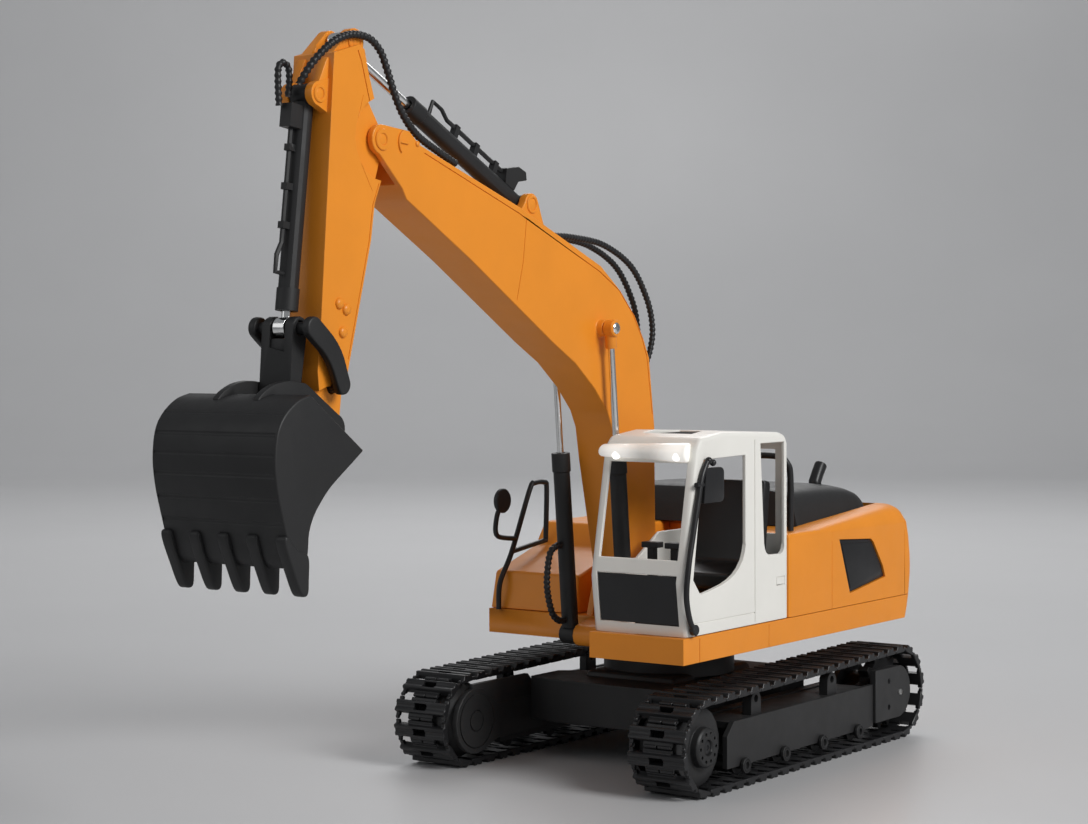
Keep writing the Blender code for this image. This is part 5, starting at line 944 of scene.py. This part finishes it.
def make_cab():
    door = [(-36.8, 69), (-36.8, 150)]
    sill = [(-92, 73.2), (-36.8, 73.2)]
    handle = [(-17.6, 83.6), (-10.6, 83.6), (-10.6, 87.2), (-17.6, 87.2), (-17.6, 83.6)]
    cuts = []
    for line in (door, sill, handle):
        cuts += side_grooves(line, CAB_SIDE, 0.5, 0.4, False)
    cuts.append(prism([(-92.2, 98.6), (-77, 98.6), (-74, 144.2), (-83.4, 144.2)], 18, 24))
    upright(dressed("cab_shell", 0.4, cuts))
    make_window_corners()
    dressed("cab_seat", 0.4)
    dressed("cab_levers", 0.3)
    matt = plastic("matt_black", BLACK, 0.8, mottling=0.15, grain=0.4, gloss=0.1)
    dressed("roof_hatch", 0.3, material=matt)
    upright(dressed("lower_windscreen", 0.25, material=finish_of["black"]))
    make_light_bar()


def make_window_corners():
    """Plates inside the cab's wall that round the lower corners of the side windows."""
    sweep = [(-44.6, 104.5), (-45.4, 101), (-47.2, 97.4), (-50.2, 94.2), (-54.2, 91.6), (-59, 89.6),
             (-64, 88.2), (-69.6, 87.2), (-75.2, 86.3), (-82.4, 85.3)]
    door = [(-82.4, 84.4), (-43.8, 84.4), (-43.8, 104.5)] + sweep
    front = [(-29.6, 96.8), (-23.6, 96.8), (-23.6, 97.9), (-25.4, 98.2), (-27, 99.2), (-28, 100.8),
             (-28.6, 103), (-29.6, 103)]
    rear = [(-14.6, 96.6), (-9.8, 96.6), (-9.8, 101.8), (-10.6, 101.8), (-11, 99.8), (-12, 98.4),
            (-13.4, 97.7), (-14.6, 97.5)]
    plates = [prism(outline, CAB_SIDE - 1.77, CAB_SIDE - 0.03) for outline in (door, front, rear)]
    piece("window_corners", joined(plates), "upper", "cream")


CHIN_HEIGHT = 92.0
CHIN_FALL = 24.1
CHIN_REAR = -76.0
CHIN_REACH = 12.0
CHIN_SHIFT = 3.5


def upright(obj):
    """Brings the cab's front forward below its chin, so that it falls back less."""
    for vert in obj.data.vertices:
        below = max(0.0, CHIN_HEIGHT * MM - vert.co.z) / (CHIN_FALL * MM)
        ahead = min(1.0, max(0.0, (SLEW_Y + CHIN_REAR * MM - vert.co.y) / (CHIN_REACH * MM)))
        vert.co.y -= CHIN_SHIFT * MM * below * ahead


LAMPS = [spot(30.5, -90.4, 144.6), spot(61.5, -90.4, 144.6)]
BROW_RIGHT = 21.2
BROW_LEFT = 66.2
BROW_MIDDLE = 146.4
BROW_TAPER = 0.35


def make_light_bar():
    """The brow over the windscreen: a white lens with a lamp near each end."""
    brow = [(-86.2, 142), (-84.4, 150.4), (-86.4, 150.3), (-88.2, 149.6), (-89.6, 148.2), (-90.3, 146.4),
            (-90.3, 144.6), (-89.8, 143.2), (-88.8, 142.3), (-87.6, 142)]
    shape = prism(brow, BROW_RIGHT, BROW_LEFT)
    for vert in shape.verts:
        if vert.co.x < (BROW_RIGHT + BROW_LEFT) / 2 * MM:
            vert.co.z += (BROW_MIDDLE * MM - vert.co.z) * BROW_TAPER
    rounded(shape, 1.2, 60, 4)
    stand_in("light_bar", shape, lit_lens("lit_brow", 15, 0.10, 0.5), "light_bar_lens")
    bright = lit_lens("lit_lamp", 4, 1.0, 2.0)
    for number, place in enumerate(LAMPS, 1):
        bulb = turned([(0, -1.2), (2, -1.2), (2, -0.5), (1.7, -0.2), (0.9, 0), (0, 0.05)],
                      facing(place, (0, -1, 0)), 28)
        piece(f"work_light_{number}", bulb, "upper", "cream", bright)


def make_cab_rail():
    """The grab rail on the cab's left with its foot, its mirror plate and two knobs."""
    x = CAB_SIDE + 0.3 + RAIL_RADIUS
    bends = [(-90.9, 71.5), (-94, 76.5), (-96.2, 86), (-94.3, 99), (-91, 111), (-87, 125),
             (-83.6, 136), (-78.8, 142.8)]
    plate = [(-82, 139.5), (-84, 124.5)]
    plate += arc((-70, 127), 2.5, -90, 0, 4) + arc((-70, 137), 2.5, 0, 90, 4)
    foot = turned([(0, 0), (2, 0), (2.4, 0.4), (2.4, 2.1), (2, 2.5), (0, 2.5)],
                  facing(spot(x - RAIL_RADIUS, -90, 71), ACROSS), 20)
    shapes = [bar(at_x(x, bends), RAIL_RADIUS), foot, rounded(prism(plate, x - 1.0, x + 1.4), 0.4),
              bar([(x, -88.4, 132.6), (x, -77.5, 132.4)], 1.1)]
    for y, z, radius in ((-78.6, 142.6, 1.6), (-75.2, 141.6, 1.5)):
        ball = [(0, -radius)] + arc((0, 0), radius, -75, 75) + [(0, radius)]
        stand = Matrix.Translation(spot(x + 0.3, y, z)) @ Matrix.Rotation(pi / 2, 4, "Z")
        shapes.append(turned(ball, stand, 18))
    stand_in("cab_rail", joined(shapes))


def make_rear_rail():
    """The hoop behind the cab."""
    hoop = [(63, 5.4, 106.3), (63, 5.4, 131), (62, 4, 137.5), (58, 2.6, 140.5), (45.6, 2.6, 140.5),
            (41.6, 4, 137.5), (40.6, 5.4, 131), (40.6, 5.4, 106.3)]
    stand_in("rear_rail", bar(hoop, 1.5))


def make_tank_rail():
    """The climbing rail on the right with its round mirror."""
    x = -CAB_SIDE + 7
    climb = [(-51.6, 67.6), (-50.5, 80), (-40.9, 94.3), (-26.5, 122.5), (-22.5, 125.6), (-14.5, 125.6),
             (-12.5, 122.5), (-13.5, 97.5)]
    rung = [(-41.5, 94), (-13.2, 97.5)]
    arm = [(-38, 100), (-50.5, 101.6), (-53.8, 104.5), (-52.9, 111), (-50.5, 115.5)]
    disc = turned([(0, 0), (5.3, 0), (5.8, 0.5), (5.8, 1.9), (5.3, 2.4), (0, 2.4)],
                  facing(spot(x - 1.2, -48.4, 118.6), ACROSS), 32)
    shapes = [bar(at_x(x, climb), RAIL_RADIUS), bar(at_x(x, rung), RAIL_RADIUS), bar(at_x(x, arm), 1.2), disc]
    stand_in("tank_rail", joined(shapes))


# Arm

def pin_ring(name, centre, face, body, outer, inner, height):
    """A raised ring round a pin's end on both sides, with the pin's face inside it."""
    top = height + 0.4
    profile = [(0, 0), (outer, 0), (outer, top - 0.3), (outer - 0.3, top), (inner + 0.3, top),
               (inner, top - 0.3), (inner, top - 0.5), (inner * 0.85, top - 0.35), (0, top - 0.3)]
    for side, label in SIDES:
        stand = facing(spot(side * (face - 0.4), *centre), (side, 0, 0))
        piece(f"{name}_{label}", turned(profile, stand, 36), body, "orange")


def make_boom():
    spine = [(-29.6, 160), (-34, 186.6), (-38.4, 195.8), (-45.4, 206), (-56.5, 216.6), (-71.8, 224.6),
             (-131.7, 247.8), (-196, 269.4)]
    seam = [(-126.9, 246.4), (-129.5, 227.6), (-134.1, 211.4)]
    dressed("boom", 0.6, side_grooves(spine, BOOM_SIDE) + side_grooves(seam, BOOM_SIDE, 0.35, 0.25))
    pin_ring("boom_tip_ring", BOOM_TIP, BOOM_SIDE, "boom", 4.3, 2.3, 0.7)
    pin_ring("stick_cylinder_ring", STICK_FOOT, 8.5, "boom", 3.9, 2.6, 0.6)
    clip = curve([(-209.4, 277.4), (-211.4, 275.6), (-212.2, 273.2), (-211.8, 270.8), (-210.6, 268.8)], 0.8)
    tongue = [(-211.6, 272.9), (-206.4, 272.6)]
    for side, label in SIDES:
        ridges = [rounded(side_plate(strip(line, 0.9), side, BOOM_SIDE - 0.5, BOOM_SIDE + 0.8), 0.25)
                  for line in (clip, tongue)]
        ridges.append(dome("boom", side, -200.5, 272.8, 1.2, 0.8))
        piece(f"hose_clip_{label}", joined(ridges), "boom", "orange")


def dome(node, side, y, z, radius, height):
    """A low round boss on a solid's outer face."""
    work = bmesh.new()
    work.from_mesh(nodes[node].data)
    hit = BVHTree.FromBMesh(work).ray_cast(spot(side * 60, y, z), Vector((-side, 0, 0)))[0]
    work.free()
    profile = [(0, -0.5), (radius, -0.5), (radius, 0.25 * height), (0.85 * radius, 0.65 * height),
               (0.5 * radius, 0.92 * height), (0, height)]
    return turned(profile, facing(hit, (side, 0, 0)), 24)


def make_rods():
    """The cylinders: boom rods with knuckles and screws, the other rods, and the barrels."""
    for side, label in SIDES:
        node = f"boom_rod_{label}"
        outward = Vector((side, 0, 0))
        foot, eye = spot(side * CYLINDER_X, -59.0, 60.0), spot(side * CYLINDER_X, *BOOM_EYE)
        reach = (eye - foot).length / MM
        stand = facing(foot, eye - foot)
        stand_in(node, turned(peg(1.5, 28, reach - 3.5), stand, 24), name=f"boom_rod_chrome_{label}")
        turn = facing(eye - outward * 1.5 * MM, outward)
        knuckle = turned([(0, 0), (3.5, 0), (3.8, 0.3), (3.8, 4.4), (3.4, 4.9), (0, 4.9)], turn, 32)
        neck = turned([(0, reach - 9.0), (2.3, reach - 9.0), (2.6, reach - 8.5), (2.6, reach - 2.0),
                       (0, reach - 2.0)], stand, 24)
        piece(f"boom_rod_knuckle_{label}", joined([knuckle, neck]), node, "orange")
        piece(f"boom_rod_screw_{label}", screw(eye + outward * 3.2 * MM, outward, 2.6), node, "rod")
    for node in ("stick_rod", "bucket_rod"):
        dressed(node, 0.25)
    for node in ("boom_barrel_left", "boom_barrel_right", "stick_barrel", "bucket_barrel"):
        dressed(node, 0.35)


def make_stick():
    """The stick with its panel lines, rings, webs and bosses, and the links below it."""
    shoulder = [(-236.5, 306.5), (-234.6, 302.8), (-231.9, 294.3), (-228.8, 284.6), (-224.4, 282.3),
                (-220.4, 279.2)]
    heel = [(-224.4, 256), (-228.3, 247.4), (-230.6, 233.6), (-243.6, 187.5)]
    seam = curve([(-233.5, 289.6), (-238.1, 274.4), (-235.8, 264.8), (-231.1, 256.8), (-228.4, 252.6)], 2)
    cuts = side_grooves(shoulder, BOOM_SIDE) + side_grooves(heel, BOOM_SIDE, 0.4, 0.3)
    dressed("stick", 0.7, cuts + side_grooves(seam, BOOM_SIDE, 0.25, 0.15))
    pin_ring("bucket_cylinder_ring", BUCKET_FOOT, 8.0, "stick", 3.5, 2.1, 0.6)
    pin_ring("stick_eye_ring", STICK_EYE, 8.0, "stick", 4.2, 2.8, 0.6)
    web = [(-257, 292), (-251.4, 302.6), (-249.5, 302.6), (-249.5, 290)]
    for side, label in SIDES:
        piece(f"lug_web_{label}", rounded(side_plate(web, side, 3.7, 7.7), 0.5), "stick", "orange")
        bosses = [dome("stick", side, y, z, 2.2, 1.4) for y, z in
                  ((-248.7, 208.8), (-244.6, 206.5), (-246.8, 197.8))]
        piece(f"stick_bosses_{label}", joined(bosses), "stick", "orange")
    make_rocker()
    dressed("bucket_link", 0.8)
    web = [(-272.5, 190), (-271.9, 195.6), (-269.7, 195.2), (-270, 190)]
    piece("link_web", rounded(prism(web, -4.2, 4.2), 0.3), "bucket_link", slot_of["bucket_link"])


def make_rocker():
    """The two bone-shaped arms with their pins."""
    angle = degrees(atan2(ROCKER_EYE[1] - ROCKER[1], ROCKER_EYE[0] - ROCKER[0]))
    ahead = Vector((cos(radians(angle)), sin(radians(angle))))
    aside = Vector((ahead.y, -ahead.x))
    outer = Vector(ROCKER) + ahead * 14 + aside * 7.9
    inner = Vector(ROCKER) + ahead * 14 - aside * 0.4
    heel = Vector(ROCKER) + ahead * 1.5
    outline = (arc(tuple(heel), 4.1, angle - 250, angle - 90, 6) + [tuple(outer)]
               + arc(ROCKER_EYE, 4.4, angle - 75, angle + 100, 6) + [tuple(inner)])
    shapes = []
    for side in (1, -1):
        shapes.append(rounded(side_plate(softer(outline), side, 11.9, 15.5), 0.9, 50, 3))
        stub = facing(spot(side * 3.8, *ROCKER_EYE), (side, 0, 0))
        shapes.append(turned([(0, 0), (2, 0), (2.2, 0.2), (2.2, 8.9), (0, 8.9)], stub, 20))
    pivot = facing(spot(-12.7, *ROCKER), ACROSS)
    shapes.append(turned(peg(2.2, 0, 25.4), pivot, 20))
    stand_in("rocker", joined(shapes))


BUCKET_BACK = [(-35.6, 14), (-42.5, 12), (-49.5, 7), (-53.6, 0.5), (-54.98, -9.5), (-54, -19),
               (-51.6, -28.5), (-46.5, -45), (-43.6, -49)]
BUCKET_LIP = [(-38.5, -48), (-37.4, -43), (-36.7, -36.5), (-34.4, -31), (-30.8, -26.3), (-25.5, -21),
              (-20, -17), (-12.5, -12)]
BUCKET_SIDE = 31.0
BUCKET_WALL = 1.8
RIB_PLACES = (0.20, 0.31, 0.42, 0.53, 0.64, 0.75)
RIB_RADIUS = 1.35
TEETH = 5
TOOTH_WIDTH = 5.2
TEETH_SPREAD = 2 * BUCKET_SIDE + 0.9 - TOOTH_WIDTH


def by_bucket(points):
    """Points measured from the bucket's pin."""
    return [(BUCKET_PIN[0] + y, BUCKET_PIN[1] + z) for y, z in points]


def make_bucket():
    """The bucket: a thin curved shell with faint ribs, five finger-like teeth and two ears."""
    back = curve(by_bucket(BUCKET_BACK), 1.5)
    outline = by_bucket([(-5.9, -7.5)]) + back + curve(by_bucket(BUCKET_LIP), 2)
    shell = finished(rounded(prism(outline, -BUCKET_SIDE, BUCKET_SIDE), 0.8, 60, 3))
    inner = inset(outline, BUCKET_WALL)[1:len(back) - 1]
    inner += by_bucket([(-40.5, -52), (0, -45), (-1, -13)])
    cutters = [prism(inner, -BUCKET_SIDE + BUCKET_WALL, BUCKET_SIDE - BUCKET_WALL)]
    for share in RIB_PLACES:
        index = round(share * (len(back) - 1))
        (y0, z0), (y1, z1) = back[index - 1], back[index + 1]
        size = hypot(y1 - y0, z1 - z0)
        y, z = back[index][0] - (z0 - z1) / size, back[index][1] + (y0 - y1) / size
        cutters.append(turned(peg(RIB_RADIUS, 0, 60), facing(spot(-30, y, z), ACROSS), 20))
    shapes = [bmesh.new()]
    shapes[0].from_mesh(carved(shell, cutters))
    finger = softer(by_bucket([(-48.6, -36), (-51, -37.5), (-49.2, -43), (-46.4, -49), (-42.6, -57.5),
                               (-40.6, -59.6), (-37.6, -59), (-37.4, -53), (-36.9, -45.5), (-39, -43),
                               (-44, -42)]))
    for number in range(TEETH):
        middle = (number / (TEETH - 1) - 0.5) * TEETH_SPREAD
        tooth = prism(finger, middle - TOOTH_WIDTH / 2, middle + TOOTH_WIDTH / 2)
        shapes.append(rounded(tooth, 1.0, 60, 4))
    crest = by_bucket([(-22, 18.5), (-27, 18.7), (-33.7, 17.6), (-39.5, 15), (-42.8, 12.2)])
    ear = (by_bucket([(-42, 10.8), (-36, 12.6), (-30, 8.5), (-8, -7.6), (-3, -8.2)])
           + arc(BUCKET_PIN, 6.0, -80, 70, 10) + arc(LINK_PIN, 6.5, 55, 90, 5) + curve(crest, 2.0))
    for side in (1, -1):
        shapes.append(rounded(side_plate(ear, side, 8.5, 11.7), 0.6, 50, 2))
    shapes.append(turned(peg(2.6, 0, 22.6), facing(spot(-11.3, *BUCKET_PIN), ACROSS), 24))
    stand_in("bucket", joined(shapes))


# Stage

FLOOR_COLOUR = (0.54, 0.54, 0.545)
# The floor's measures, in metres
FLOOR_FRONT = -3.0
FLOOR_HALF_WIDTH = 5.0
SWEEP_START = 2.2
SWEEP_RADIUS = 0.8
SWEEP_STEPS = 12
BACKDROP_TOP = 3.5


def make_floor():
    """A pale floor that sweeps up into a backdrop."""
    material, tree, shader, where = blank("pale_floor")
    feed(tree, shader, {
        "Base Color": mottled(tree, noise(tree, where, 6, 3), FLOOR_COLOUR, 0.01),
        "Roughness": spread(tree, noise(tree, where, 4, 2), 0.32, 0.36),
        "Specular IOR Level": 0.3})
    work = bmesh.new()
    profile = [(FLOOR_FRONT, 0.0), (SWEEP_START, 0.0)]
    for step in range(1, SWEEP_STEPS + 1):
        angle = pi / 2 * step / SWEEP_STEPS
        y = SWEEP_START + SWEEP_RADIUS * sin(angle)
        profile.append((y, SWEEP_RADIUS - SWEEP_RADIUS * cos(angle)))
    profile.append((SWEEP_START + SWEEP_RADIUS, BACKDROP_TOP))
    turn = Matrix.Rotation(CAMERA_YAW, 3, "Z")
    rows = []
    for y, z in profile:
        rows.append([work.verts.new(turn @ Vector((x, y, z))) for x in (-FLOOR_HALF_WIDTH, FLOOR_HALF_WIDTH)])
    for first, second in zip(rows, rows[1:]):
        work.faces.new((first[0], first[1], second[1], second[0]))
    mesh = finished(work)
    mesh.materials.append(material)
    placed("floor", mesh)


def area_light(name, place, target, size, power):
    data = bpy.data.lights.new(name, "AREA")
    data.shape = "DISK"
    data.size = size
    data.energy = power
    light = placed(name, data)
    light.location = place
    light.rotation_euler = (Vector(target) - Vector(place)).to_track_quat("-Z", "Y").to_euler()
    return data


def make_lights():
    aim = (0, 0, 0.14)
    area_light("key", (1.65, -0.12, 1.15), aim, size=0.9, power=28)
    area_light("fill", (-0.9, -1.4, 0.9), aim, size=1.2, power=2.5)
    area_light("rim", (-0.6, 1.2, 1.2), aim, size=0.9, power=8)
    backdrop = area_light("backdrop", (-0.9, 1.2, 1.9), (-1.75, 2.45, 0.4), size=1.5, power=16)
    backdrop.specular_factor = 0.0
    world = bpy.data.worlds.new("soft_room")
    world.use_nodes = True
    tree = world.node_tree
    feed(tree, tree.nodes["Background"], {"Color": (0.80, 0.82, 0.85, 1.0), "Strength": 0.3})
    bpy.context.scene.world = world
    bpy.context.scene.view_settings.view_transform = "Standard"


make_camera()
make_hoses()
make_undercarriage()
make_deck()
make_house()
make_cab()
make_cab_rail()
make_rear_rail()
make_tank_rail()
make_boom()
make_rods()
make_stick()
make_bucket()
make_floor()
make_lights()
